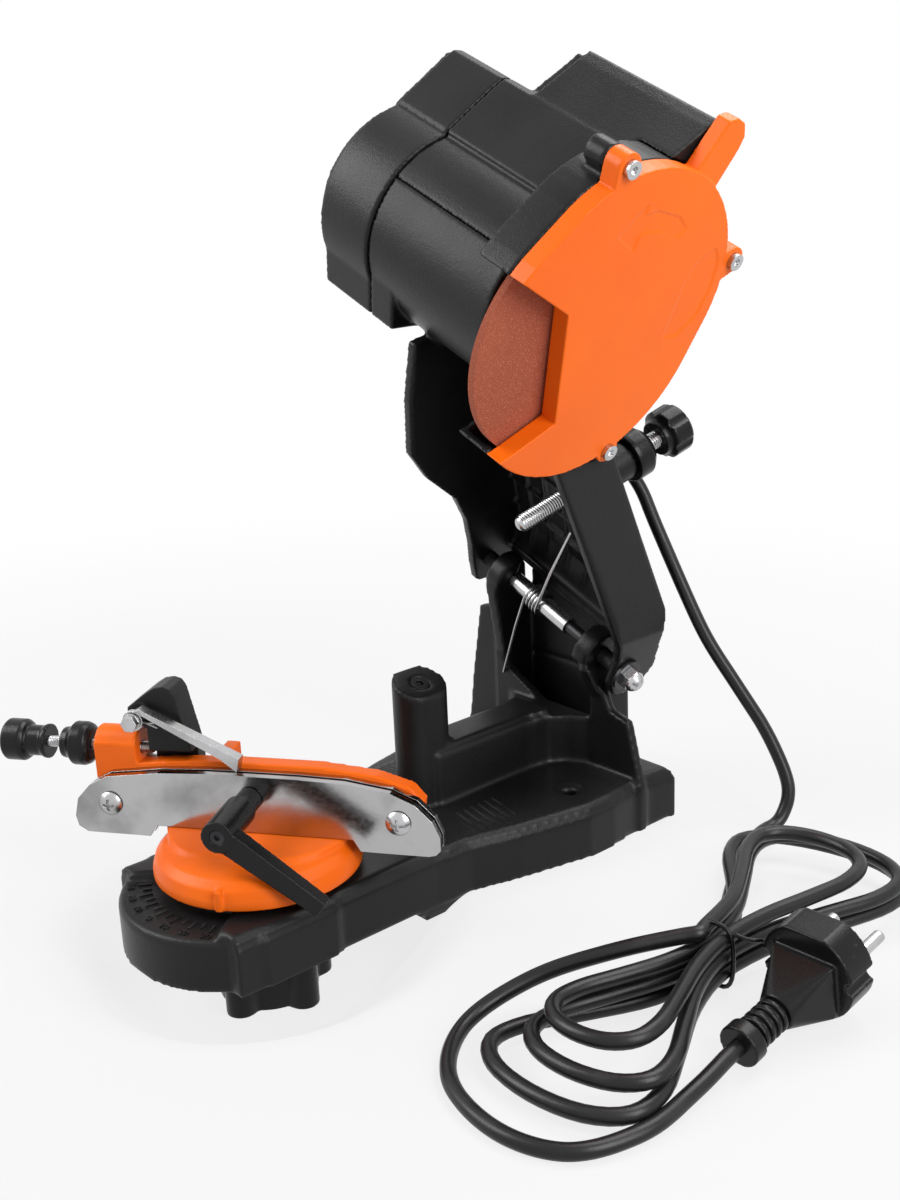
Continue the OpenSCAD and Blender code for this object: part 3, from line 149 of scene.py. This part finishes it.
class Wire:
    """A value in a material, that Python's own signs work on."""

    def __init__(self, finish, socket):
        self.finish, self.socket = finish, socket

    def sum(self, operation, *values):
        return self.finish.node("ShaderNodeMath", {"operation": operation}, values)

    def __add__(self, other):
        return self.sum("ADD", self, other)

    def __sub__(self, other):
        return self.sum("SUBTRACT", self, other)

    def __rsub__(self, other):
        return self.sum("SUBTRACT", other, self)

    def __mul__(self, other):
        return self.sum("MULTIPLY", self, other)

    def clear(self, low, high):
        """0 below low and 1 above high, with a soft step between them."""
        return self.finish.node("ShaderNodeMapRange", {"interpolation_type": "SMOOTHSTEP"},
                                {"Value": self, "From Min": low, "From Max": high})

    __radd__, __rmul__ = __add__, __mul__


class Finish:
    """A finish mixed in shader nodes, over one Principled shader."""

    def __init__(self, name):
        self.material = bpy.data.materials.new(name)
        self.material.use_nodes = True
        self.tree = self.material.node_tree
        self.shader = self.tree.nodes["Principled BSDF"]
        self.output = self.tree.nodes["Material Output"]
        self.place = self.node("ShaderNodeTexCoord", output="Object")

    def node(self, kind, settings=None, inputs=(), output=0):
        """A node with its settings, and the links or values of its sockets."""
        made = self.tree.nodes.new(kind)
        for key, value in (settings or {}).items():
            setattr(made, key, value)
        for key, value in inputs.items() if isinstance(inputs, dict) else enumerate(inputs):
            self.feed(made.inputs[key], value)
        return Wire(self, made.outputs[output])

    def feed(self, socket, value):
        if isinstance(value, Wire):
            self.tree.links.new(value.socket, socket)
        else:
            socket.default_value = value

    def noise(self, scale, detail=2, rough=0.5, place=None):
        """Clouds from 0 to 1, about that many to the metre."""
        inputs = {"Vector": place or self.place, "Scale": scale, "Detail": detail, "Roughness": rough}
        return self.node("ShaderNodeTexNoise", None, inputs)

    def blend(self, factor, first, second):
        """Two colours mixed by a mask, through the Mix node's sockets for colours."""
        colours = [c if isinstance(c, Wire) else (*c, 1) for c in (first, second)]
        inputs = {0: factor, 6: colours[0], 7: colours[1]}
        return self.node("ShaderNodeMix", {"data_type": "RGBA"}, inputs, output=2)

    def bump(self, height, depth, strength, edge=None):
        """A surface raised by a pattern, in metres, over edges rounded by a radius."""
        inputs = {"Strength": strength, "Distance": depth, "Height": height}
        if edge:
            inputs["Normal"] = self.node("ShaderNodeBevel", {"samples": 6}, {"Radius": edge})
        return self.node("ShaderNodeBump", None, inputs)

    def set(self, **sockets):
        for name, value in sockets.items():
            if isinstance(value, tuple) and len(value) == 3:
                value = (*value, 1)
            self.feed(self.shader.inputs[name.replace("_", " ")], value)
        return self.material


def rubber_finish():
    """Black lead rubber: smooth, a little waxy, dusty where it has lain."""
    finish = Finish("cord_rubber")
    dust = finish.noise(60, 4).clear(0.45, 0.8)
    ripple = finish.noise(260, 2)
    return finish.set(
        Base_Color=finish.blend(dust * 0.5, (0.008, 0.008, 0.009), (0.022, 0.022, 0.023)),
        Roughness=0.3 + dust * 0.14 + ripple * 0.05, IOR=1.5, Specular_IOR_Level=0.3,
        Normal=finish.bump(ripple + finish.noise(1800, 1) * 0.4, 0.00008, 0.6))


rubber = rubber_finish()
cord = cord_curve("mains_cord", route, CORD_R, sides=4)
cord.data.materials.append(rubber)
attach(cord, "stand")
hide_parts("cord_free", "cord_hank", "cord_tail")
cord_length = sum((b - a).length for a, b in zip(route, route[1:])) * 0.001

# ---- Floor, lamps and white background ------------------------------------
# The stand's front end and the knob under it hang past the edge of a bench, so
# the pale floor sinks away softly under them. Large soft lamps stand left,
# right and above.
KNOB_DROP = 31.6


def floor_height(x, y):
    """The floor's height: level, but for a hollow round the knob and back to the base's ledge."""
    half_width = 44
    front = -2
    back = 77.4
    if abs(x) < half_width and front < y < back:
        return -KNOB_DROP
    middle = -5
    flat = 34
    slope = 61
    away = min(max((math.hypot(x, y - middle) - flat) / slope, 0), 1)
    return -KNOB_DROP * (1 - away * away * (3 - 2 * away))


def add_shape(name, shape, place=Matrix()):
    """An object from faces built in bmesh, moved to their place."""
    mesh = bpy.data.meshes.new(name)
    shape.to_mesh(mesh)
    shape.free()
    mesh.transform(place)
    return add(name, mesh)


def lay_floor():
    """A sheet with small squares near the object and large ones far off."""
    near = list(range(-110, 111, 2))
    far = [150, 220, 350, 600, 1200, 3000, 8000]
    lines = [-d for d in reversed(far)] + near + far
    shape = bmesh.new()
    grid = [[shape.verts.new((x * 0.001, y * 0.001, floor_height(x, y) * 0.001)) for y in lines]
            for x in lines]
    for column, beside in zip(grid, grid[1:]):
        for a, b, c, d in zip(column, beside, beside[1:], column[1:]):
            shape.faces.new((a, b, c, d)).smooth = True
    return add_shape("floor", shape)


def rays_shown(tree):
    """1 on the rays that make the picture, also by way of a mirror or glass, and 0 on the others."""
    path = tree.nodes.new("ShaderNodeLightPath")
    shown = path.outputs["Is Camera Ray"]
    for other in ("Is Glossy Ray", "Is Transmission Ray"):
        larger = tree.nodes.new("ShaderNodeMath")
        larger.operation = "MAXIMUM"
        tree.links.new(shown, larger.inputs[0])
        tree.links.new(path.outputs[other], larger.inputs[1])
        shown = larger.outputs[0]
    return shown


def paper_finish():
    """White paper that keeps the shadow near the object and is plain white far off."""
    finish = Finish("floor_paper")
    finish.set(Base_Color=(0.5, 0.5, 0.5), Roughness=0.95)
    far = finish.node("ShaderNodeVectorMath", {"operation": "LENGTH"}, [finish.place], output=1)
    glow = 0.8 + far.clear(0.3, 0.75) * 0.2
    white = finish.node("ShaderNodeEmission", None, {"Color": (1, 1, 1, 1), "Strength": 1})
    paper = Wire(finish, finish.shader.outputs[0])
    mixed = finish.node("ShaderNodeMixShader", None,
                        [Wire(finish, rays_shown(finish.tree)) * glow, paper, white])
    finish.feed(finish.output.inputs["Surface"], mixed)
    return finish.material


def lamp(name, place, size, power):
    """A soft lamp that faces the middle of the sharpener."""
    data = bpy.data.lights.new(name, "AREA")
    data.shape = "RECTANGLE"
    data.size, data.size_y = size
    data.energy = power
    light = add(name, data)
    light.location = place
    aim = Vector((0, 0.1, 0.12)) - light.location
    light.rotation_euler = aim.to_track_quat("-Z", "Y").to_euler()


floor = lay_floor()
floor.data.materials.append(paper_finish())
lamp("lamp_left", place=(-0.75, -0.75, 0.95), size=(0.7, 0.9), power=15)
lamp("lamp_right", place=(1.15, 0.1, 0.7), size=(0.5, 0.9), power=12)
lamp("lamp_top", place=(0.1, 0.7, 1.3), size=(1.1, 0.6), power=13)
world = bpy.data.worlds.new("studio")
world.use_nodes = True
bpy.context.scene.world = world
tree = world.node_tree
room = tree.nodes["Background"]
white = tree.nodes.new("ShaderNodeBackground")
for glow, strength in ((room, 0.2), (white, 1)):
    glow.inputs["Color"].default_value = (1, 1, 1, 1)
    glow.inputs["Strength"].default_value = strength
either = tree.nodes.new("ShaderNodeMixShader")
for number, socket in enumerate((rays_shown(tree), room.outputs[0], white.outputs[0])):
    tree.links.new(socket, either.inputs[number])
tree.links.new(either.outputs[0], tree.nodes["World Output"].inputs["Surface"])

# ---- Base -----------------------------------------------------------------
# One black moulding: the rounded front that carries the vise, the deck, the
# oval post that stops the head, and the tower with its back and its two ears
# for the axle.


def plain_mesh(piece):
    """The piece as a plain mesh, with its modifiers worked in."""
    bpy.context.view_layer.update()
    return bpy.data.meshes.new_from_object(piece.evaluated_get(bpy.context.evaluated_depsgraph_get()))


def settle(piece, finish, body, slot, *solids):
    """Fixes a piece's modifiers into its mesh, and gives it its finish and its body."""
    made = plain_mesh(piece)
    piece.modifiers.clear()
    if piece.type != "MESH":
        name = piece.name
        bpy.data.objects.remove(piece)
        piece = add(name, made)
    piece.data = made
    made.name = piece.name
    made.materials.clear()
    made.materials.append(finish)
    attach(piece, body)
    if solids:
        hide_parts(*solids)
    return piece


def mould(name, solids, body, slot, finish, grid, rounds, keep):
    """A moulded piece from its solids, with the soft radii that a mould leaves on edges."""
    solids = solids.split()
    shape = bmesh.new()
    for solid in solids:
        shape.from_mesh(nodes[solid].data)
    bmesh.ops.remove_doubles(shape, verts=shape.verts, dist=1e-6)
    piece = add_shape(name, shape)
    skin = piece.modifiers.new("skin", "REMESH")
    skin.mode = "VOXEL"
    skin.voxel_size = grid * 0.001
    skin.use_smooth_shade = True
    radii = piece.modifiers.new("radii", "SMOOTH")
    radii.factor = 0.5
    radii.iterations = rounds
    faces = piece.modifiers.new("faces", "DECIMATE")
    faces.ratio = keep
    return settle(piece, finish, body, slot, *solids)


def plastic_finish(name, dark, light, rough, grain, edge=None, wear_and_edge_highlight=0.0):
    """Moulded plastic: fine spark-eroded grain, slow changes of gloss, and convex edges lightened in
    patches, partly as rubbed wear and partly as a painted edge highlight.
    """
    finish = Finish(name)
    cloud = finish.noise(16, 4)
    pits = finish.noise(1500, 2, 0.6)
    tone = cloud.clear(0.3, 0.75)
    colour = finish.blend(tone, dark, light)
    if wear_and_edge_highlight:
        # Paler convex edges from pointiness, broken up by noise: partly rubbed wear, partly a painted edge
        # highlight.
        point = finish.node("ShaderNodeNewGeometry", output="Pointiness")
        rubbed_and_highlit_edges = point.clear(0.53, 0.62) * finish.noise(90, 3).clear(0.4, 0.62)
        pale = tuple(min(c * 3 + 0.03, 1) for c in light)
        colour = finish.blend(rubbed_and_highlit_edges * wear_and_edge_highlight, colour, pale)
    return finish.set(
        Base_Color=colour, IOR=1.45, Specular_IOR_Level=0.26,
        Roughness=rough + (tone - 0.5) * 0.12 + (pits - 0.5) * 0.1,
        Normal=finish.bump(pits + finish.noise(420, 2) * 0.6, grain, 0.8, edge))


black = plastic_finish("black_plastic", (0.006, 0.006, 0.0062), (0.011, 0.011, 0.0115),
                       rough=0.38, grain=0.00012, wear_and_edge_highlight=0.35)
mould("base_casting", "base tower_web", "stand", "black_plastic", black, grid=1.2, rounds=3, keep=0.55)

# ---- Angle scale ----------------------------------------------------------
# Raised lines moulded in the front of the base, one for every five degrees of
# the vise's turn, longer at every second one, with the angles beside them. The
# scale is spread a little, so its lines are 5.4 degrees apart.
LINE_STEP = 5.4


def bars_tree():
    """Equal bars in a row or on an arc: each is placed, then turned about the upright axis."""
    tree = bpy.data.node_groups.new("bars", "GeometryNodeTree")
    face = tree.interface
    for label, kind in (("Count", "Int"), ("Start", "Vector"), ("Step", "Vector"), ("Turn", "Float"),
                        ("Turn Step", "Float"), ("Size", "Vector"), ("Finish", "Material")):
        face.new_socket(label, in_out="INPUT", socket_type="NodeSocket" + kind)
    face.new_socket("Bars", in_out="OUTPUT", socket_type="NodeSocketGeometry")

    def node(kind, inputs, **settings):
        """A node with its settings, and links to its sockets, by name or in their order."""
        made = tree.nodes.new(kind)
        for key, value in settings.items():
            setattr(made, key, value)
        for key, value in inputs.items() if isinstance(inputs, dict) else enumerate(inputs):
            tree.links.new(value, made.inputs[key])
        return made.outputs[0]

    given = tree.nodes.new("NodeGroupInput").outputs
    points = node("GeometryNodePoints", {"Count": given["Count"]})
    index = node("GeometryNodeInputIndex", {})
    turn = node("ShaderNodeMath", [index, given["Turn Step"], given["Turn"]], operation="MULTIPLY_ADD")
    along = node("ShaderNodeVectorMath", [given["Step"], index, given["Start"]], operation="MULTIPLY_ADD")
    place = node("ShaderNodeVectorRotate", {"Vector": along, "Angle": turn}, rotation_type="Z_AXIS")
    moved = node("GeometryNodeSetPosition", {"Geometry": points, "Position": place})
    bar = node("GeometryNodeMeshCube", {"Size": given["Size"]})
    heading = node("ShaderNodeCombineXYZ", {"Z": turn})
    row = node("GeometryNodeInstanceOnPoints", {"Points": moved, "Instance": bar, "Rotation": heading})
    solid = node("GeometryNodeRealizeInstances", {"Geometry": row})
    dressed = node("GeometryNodeSetMaterial", {"Geometry": solid, "Material": given["Finish"]})
    tree.links.new(dressed, tree.nodes.new("NodeGroupOutput").inputs[0])
    return tree


BARS = bars_tree()


def bars(name, finish, body, slot, count, start, turn, size, step=(0, 0, 0), turn_step=0):
    """One row of bars from the tree, as a plain mesh; sizes in millimetres and degrees."""
    piece = add(name, bpy.data.meshes.new(name))
    row = piece.modifiers.new("bars", "NODES")
    row.node_group = BARS
    values = {"Count": count, "Finish": finish}
    for label, angle in (("Turn", turn), ("Turn Step", turn_step)):
        values[label] = math.radians(angle)
    for label, sides in (("Start", start), ("Step", step), ("Size", size)):
        values[label] = [side * 0.001 for side in sides]
    for socket in BARS.interface.items_tree:
        if socket.in_out == "INPUT":
            row[socket.identifier] = values[socket.name]
    return settle(piece, finish, body, slot)


bars("scale_long_lines", black, "stand", "black_plastic", count=7, start=(47.4, 0, 22.0),
     turn=-90 - 6 * LINE_STEP, turn_step=2 * LINE_STEP, size=(5.4, 0.8, 1.0))
bars("scale_short_lines", black, "stand", "black_plastic", count=8, start=(46.5, 0, 22.0),
     turn=-90 - 7 * LINE_STEP, turn_step=2 * LINE_STEP, size=(3.6, 0.8, 1.0))


def scale_numbers():
    """The numbers at the long lines, in one mesh: five degrees to a line, from the middle."""
    middle = Matrix.Translation((0, -0.0532, 0.0221))
    shape = bmesh.new()
    for line in range(-6, 7, 2):
        text = bpy.data.curves.new("number", "FONT")
        text.body = str(abs(line) * 5)
        text.size = 0.0043
        text.extrude = 0.0003
        text.align_x, text.align_y = "CENTER", "CENTER"
        sign = add("number", text)
        mesh = plain_mesh(sign)
        mesh.transform(Matrix.Rotation(math.radians(line * LINE_STEP), 4, "Z") @ middle)
        shape.from_mesh(mesh)
        bpy.data.objects.remove(sign)
    return add_shape("scale_numbers", shape)


settle(scale_numbers(), black, "stand", "black_plastic")

# ---- Deck ribs ------------------------------------------------------------
# Low slanting ribs on both sides of the raised middle stiffen the deck. A row
# turns about the upright axis as a whole, so its places are turned back first.
for side, name in ((-1, "deck_ribs_left"), (1, "deck_ribs_right")):
    slant = 12 * side
    back = Matrix.Rotation(math.radians(slant), 3, "Z")
    bars(name, black, "stand", "black_plastic", count=6, start=back @ Vector((side * 32, 88, 24.9)),
         step=back @ Vector((0, 4.2, 0)), turn=-slant, size=(20, 1.3, 1.2))

# ---- Tilting head ---------------------------------------------------------
# Three black mouldings: the fork with the wheel collar and half the motor tube,
# the upper shell with the box on it, and the end cap. A lip runs along the
# lower edge of the fork's web, behind the axle.
mould("head_casting", "head_frame", "head", "black_plastic", black, grid=0.95, rounds=3, keep=0.5)
mould("motor_shell", "motor_cover", "head", "black_plastic", black, grid=0.8, rounds=5, keep=0.6)
lip = bmesh.new()
lip_place = MM @ HEAD @ Matrix.Translation((0, 15.1, 3.2)) @ Matrix.Diagonal((91, 2.6, 3.8, 1))
bmesh.ops.create_cube(lip, matrix=lip_place)
settle(add_shape("web_lip", lip), black, "head", "black_plastic")
mould("motor_end_cap", "end_cap", "head", "black_plastic", black, grid=0.8, rounds=5, keep=0.6)

# ---- Wheel guard ----------------------------------------------------------
# Bright orange plastic cover over the outer side of the wheel, held by three
# screws in ears, with a sunk arrow for the wheel's direction and a lifting tab.
orange = plastic_finish("orange_plastic", (0.93, 0.142, 0.004), (1.0, 0.168, 0.006),
                        rough=0.36, grain=0.00007, wear_and_edge_highlight=0.12)
mould("guard_cover", "wheel_guard", "head", "orange_plastic", orange, grid=0.42, rounds=2, keep=0.4)

# ---- Vise -----------------------------------------------------------------
# Orange swivel disc with the wall that carries the jaws, turned on a stud and
# clamped from below by a lobed knob.
casting = plastic_finish("orange_casting", (0.9, 0.135, 0.004), (1.0, 0.168, 0.006),
                         rough=0.4, grain=0.0001, wear_and_edge_highlight=0.2)
mould("vise_casting", "vise_body", "vise", "orange_casting", casting, grid=0.7, rounds=3, keep=0.5)
gloss = plastic_finish("knob_plastic", (0.005, 0.005, 0.0052), (0.009, 0.009, 0.0095),
                       rough=0.28, grain=0.00006, wear_and_edge_highlight=0.3)
mould("swivel_knob", "lock_knob", "swivel_lock", "black_plastic", gloss, grid=0.6, rounds=3, keep=0.5)

# ---- Jaw plates and metal -------------------------------------------------
# Two polished steel plates stand on edge with the chain's slot between them.
# Studs, pins, other screws and nuts are zinc plated; the axle, its washer and
# the socket screws are blackened, the knob's insert brass, the commutator copper.


def steel_finish(name, dark, light, rough, turn=0.0):
    """Metal with fine rolling lines along the piece, and stains that dull it a little."""
    finish = Finish(name)
    lines = finish.node("ShaderNodeMapping", None, {
        "Vector": finish.place, "Rotation": (0, 0, math.radians(turn)), "Scale": (0.04, 1, 1)})
    drawn = finish.noise(900, 2, place=lines)
    stain = finish.noise(34, 4).clear(0.42, 0.72)
    return finish.set(
        Base_Color=finish.blend(stain, light, dark), Metallic=1.0,
        Roughness=rough + drawn * 0.16 + stain * 0.08,
        Normal=finish.bump(drawn, 0.00002, 0.35, edge=0.0003))


jaw_steel = steel_finish("jaw_steel", (0.27, 0.27, 0.275), (0.46, 0.46, 0.465), rough=0.08, turn=-35)
zinc = steel_finish("zinc_steel", (0.34, 0.34, 0.33), (0.52, 0.52, 0.53), rough=0.16)
dark_steel = steel_finish("black_steel", (0.03, 0.03, 0.032), (0.055, 0.055, 0.058), rough=0.32)
brass = steel_finish("brass", (0.5, 0.32, 0.1), (0.72, 0.5, 0.2), rough=0.28)
copper = steel_finish("copper", (0.45, 0.17, 0.07), (0.78, 0.36, 0.2), rough=0.3)


def dress(finish, *names):
    """Gives solids that stay as they are their finish."""
    for name in names:
        for slot in nodes[name].material_slots:
            slot.material = finish


dress(jaw_steel, "rear_plate", "front_plate")
dress(zinc, "spacer_tube", "swivel_stud", "plate_screw_left", "plate_screw_right", "guide_pin",
      "clamp_stud", "pawl_bolt", "pawl", "axle_nut", "guard_screw_top", "guard_screw_right",
      "guard_screw_low", "rotor", "bearing_right", "bearing_left", "inner_flange", "outer_flange",
      "wheel_nut", "stator")
dress(dark_steel, "axle_bolt", "post_screw", "clamp_screw", "axle_washer")
dress(brass, "lock_insert")
dress(copper, "commutator")

# ---- Sleeves on the axle --------------------------------------------------
# Black plastic tubes with a coarse skin, slid over the axle, that keep the arms
# of the fork apart from the tower.
coarse = plastic_finish("sleeve_plastic", (0.012, 0.012, 0.013), (0.03, 0.03, 0.031),
                        rough=0.55, grain=0.0003, edge=0.0002)
dress(coarse, "sleeve_left", "sleeve_right")

# ---- Grinding wheel -------------------------------------------------------
# Red-brown abrasive disc of grains bonded in resin, held on the motor's spindle
# between two flanges by a nut.


def abrasive_finish():
    """Coarse grains in a dull red-brown, with paler ones here and there."""
    finish = Finish("abrasive")
    grain = finish.node("ShaderNodeTexVoronoi", None, {"Vector": finish.place, "Scale": 2300})
    cloud = finish.noise(26, 4)
    speck = finish.noise(2600, 2)
    red = finish.blend(cloud, (0.27, 0.058, 0.026), (0.4, 0.088, 0.04))
    return finish.set(
        Base_Color=finish.blend(speck.clear(0.56, 0.7), red, (0.62, 0.24, 0.15)),
        Roughness=0.82 + speck * 0.15,
        Normal=finish.bump(grain + speck, 0.00012, 0.9, edge=0.0003))


dress(abrasive_finish(), "grinding_wheel")

# ---- Knobs, handle and switch ---------------------------------------------
# Glossy black mouldings: the knobs of the chain stop and of the depth stop, the
# handle that closes the jaws, and the switch in the end cap. The block of the
# chain stop has the duller skin of the base.
for name, solid, body, finish, grid, rounds in (
        ("chain_stop_knob", "stop_knob", "stop_drive", gloss, 0.35, 2),
        ("chain_stop_lock", "stop_lock_knob", "stop_lock", gloss, 0.35, 2),
        ("depth_stop_knob", "depth_knob", "depth_stop", gloss, 0.4, 2),
        ("depth_stop_lock", "depth_lock_knob", "depth_lock", gloss, 0.4, 2),
        ("jaw_handle", "clamp_lever", "clamp", gloss, 0.4, 2),
        ("chain_stop_block", "stop_carrier", "chain_stop", black, 0.4, 2),
        ("power_rocker", "switch_rocker", "switch", gloss, 0.35, 2),
        ("power_switch", "switch_body", "head", gloss, 0.4, 1)):
    mould(name, solid, body, "black_plastic", finish, grid, rounds, keep=0.6)

# ---- Fan and brushes ------------------------------------------------------
# Inside the motor: a moulded plastic fan on the rotor, and two brushes of
# pressed carbon.
fan_plastic = plastic_finish("motor_parts", (0.03, 0.03, 0.03), (0.05, 0.05, 0.05),
                             rough=0.5, grain=0.0001, edge=0.0003)
carbon = plastic_finish("carbon", (0.02, 0.02, 0.02), (0.04, 0.04, 0.042),
                        rough=0.6, grain=0.0001, edge=0.0002)
dress(fan_plastic, "fan")
dress(carbon, "brush_front", "brush_back")

# ---- Threaded rods --------------------------------------------------------
# Zinc plated screws with rolled threads: the long one that stops the head at
# its depth, and the one that pushes the chain stop along.
VISE = Matrix.Rotation(math.radians(35), 4, "Z")
DEPTH = HEAD @ Matrix.Translation((6, -49.84, 64.316)) @ Matrix.Rotation(math.radians(21.1), 4, "X")


def close_rings(shape, rings):
    """Joins rings of points into a round skin that is closed at both ends."""
    for low, high in zip(rings, rings[1:]):
        for k in range(len(low)):
            shape.faces.new((low[k - 1], low[k], high[k], high[k - 1])).smooth = True
    shape.faces.new(reversed(rings[0]))
    shape.faces.new(rings[-1])
    bmesh.ops.recalc_face_normals(shape, faces=shape.faces)


def threaded(name, radius, pitch, start, end, tip, place, body, node):
    """A rod along z with a thread round it, rounded at its start over the length of its tip."""
    sides = 24
    rings_a_turn = 6
    groove_depth = 0.58 * pitch
    least_radius = 0.25
    count = int((end - start) / pitch * rings_a_turn)
    shape = bmesh.new()
    rings = []
    for i in range(count + 1):
        z = start + (end - start) * i / count
        cap = math.sqrt(max(tip * tip - max(tip - (z - start), 0) ** 2, 0.0)) * radius / tip
        ring = []
        for k in range(sides):
            turn = (z / pitch - k / sides) % 1
            groove = radius - groove_depth * abs(2 * turn - 1)
            r = max(min(groove, cap), least_radius)
            angle = 2 * math.pi * k / sides
            ring.append(shape.verts.new((r * math.cos(angle), r * math.sin(angle), z)))
        rings.append(ring)
    close_rings(shape, rings)
    return settle(add_shape(name, shape, MM @ place), zinc, body, "zinc_steel", node)


threaded("depth_stop_rod", radius=4, pitch=1.25, start=0, end=92, tip=4,
         place=DEPTH @ Matrix.Rotation(math.radians(-90), 4, "X"), body="depth_stop", node="depth_bolt")
threaded("chain_stop_rod", radius=2.5, pitch=0.8, start=-112, end=-47.9, tip=1,
         place=VISE @ Matrix.Translation((0, 12, 70.6)) @ Matrix.Rotation(math.radians(90), 4, "Y"),
         body="stop_drive", node="stop_screw")

# ---- Springs --------------------------------------------------------------
# Wound from bright wire: the torsion spring that lifts the head, round the
# axle, and the little one that holds the finger of the chain stop down.


def wound(turns, radius, first=0):
    """Points round a spring, 24 to a turn: turns so far, and the two offsets from its axis."""
    for k in range(24 * turns + 1):
        angle = math.radians(first + k * 15)
        yield k / 24, radius * math.cos(angle), radius * math.sin(angle)


def coil(name, points, wire, place, body, node):
    """A spring of round wire: its radius, and the points of its legs and turns."""
    piece = cord_curve(name, [place @ Vector(p) for p in points], wire)
    return settle(piece, zinc, body, "zinc_steel", node)


lift_turns = [(-13 + 2.1 * turn, -across, up) for turn, across, up in wound(4, 5.7)]
coil("lift_spring",
     [(-10.5, -6.6, -44), (-12.4, -6.4, -16)] + lift_turns + [(-4.4, -3.4, 20), (-4.2, 1.4, 42)],
     wire=0.8, place=HEAD, body="stand", node="tilt_spring")
finger_turns = [(-50 + across, 2.3 + 1.2 * turn, 87.5 + up) for turn, across, up in wound(2, 3, -50)]
coil("finger_spring", [(-42, 2.3, 85.9)] + finger_turns + [(-42, 4.9, 82.5)],
     wire=0.42, place=VISE, body="chain_stop", node="pawl_spring")

# ---- Cord's strain relief, tie and plug -----------------------------------
# A ribbed rubber sleeve that tapers onto the cord, a twist tie round the loops,
# and a moulded plug with two round pins.
PIN_START = 56.2


def turned(name, profile, place):
    """A round piece from its profile: pairs of distance along y and radius."""
    sides = 32
    angles = [2 * math.pi * k / sides for k in range(sides)]
    shape = bmesh.new()
    rings = [[shape.verts.new((r * math.cos(a), y, r * math.sin(a))) for a in angles] for y, r in profile]
    close_rings(shape, rings)
    return add_shape(name, shape, MM @ place)


relief = [(-11, 4.4), (-9.3, 4.4), (-9.2, 5.2), (-7, 5.2), (-6.9, 4.5), (0, 4.5)]
for rib in range(5):
    y, r = 1 + rib * 4.4, 5.2 - rib * 0.32
    relief += [(y, r - 0.9), (y + 0.3, r), (y + 2.0, r - 0.1), (y + 2.4, r - 0.95)]
relief += [(24, 3.25), (24.05, CORD_R + 0.02)]
strain_relief = settle(turned("strain_relief", relief, GLAND), rubber, "head", "cord_rubber", "cord_gland")


def tie_line():
    """A little more than a turn of wire round the bundle, then a twist that stands out from it."""
    half_width = 7.9
    half_height = 13.4
    middle = 14.1
    twist = 0.8
    line = []
    for k in range(29):
        a = math.radians(k * 15 - 90)
        across = math.copysign(half_width * abs(math.cos(a)) ** 0.6, math.cos(a))
        up = math.copysign(half_height * abs(math.sin(a)) ** 0.7, math.sin(a))
        line.append(HANK @ Vector((-1.2 + k * 0.09, across, middle + up)))
    for k in range(9):
        a = math.radians(k * 60)
        line.append(HANK @ Vector((1.4 + k * 0.9 + math.cos(a) * twist,
                                   -7.4 - k * 1.3 + math.sin(a) * twist, 24 - k * 0.3)))
    return line


tie = settle(cord_curve("twist_tie", tie_line(), 0.9), gloss, "stand", "black_plastic", "cord_tie")
plug = mould("mains_plug", "plug", "stand", "black_plastic", gloss, grid=0.45, rounds=2, keep=0.6)
plug.data.materials.append(zinc)
to_plug = PLUG.inverted()
for face in plug.data.polygons:
    if (to_plug @ (face.center * 1000)).y > PIN_START:
        face.material_index = 1
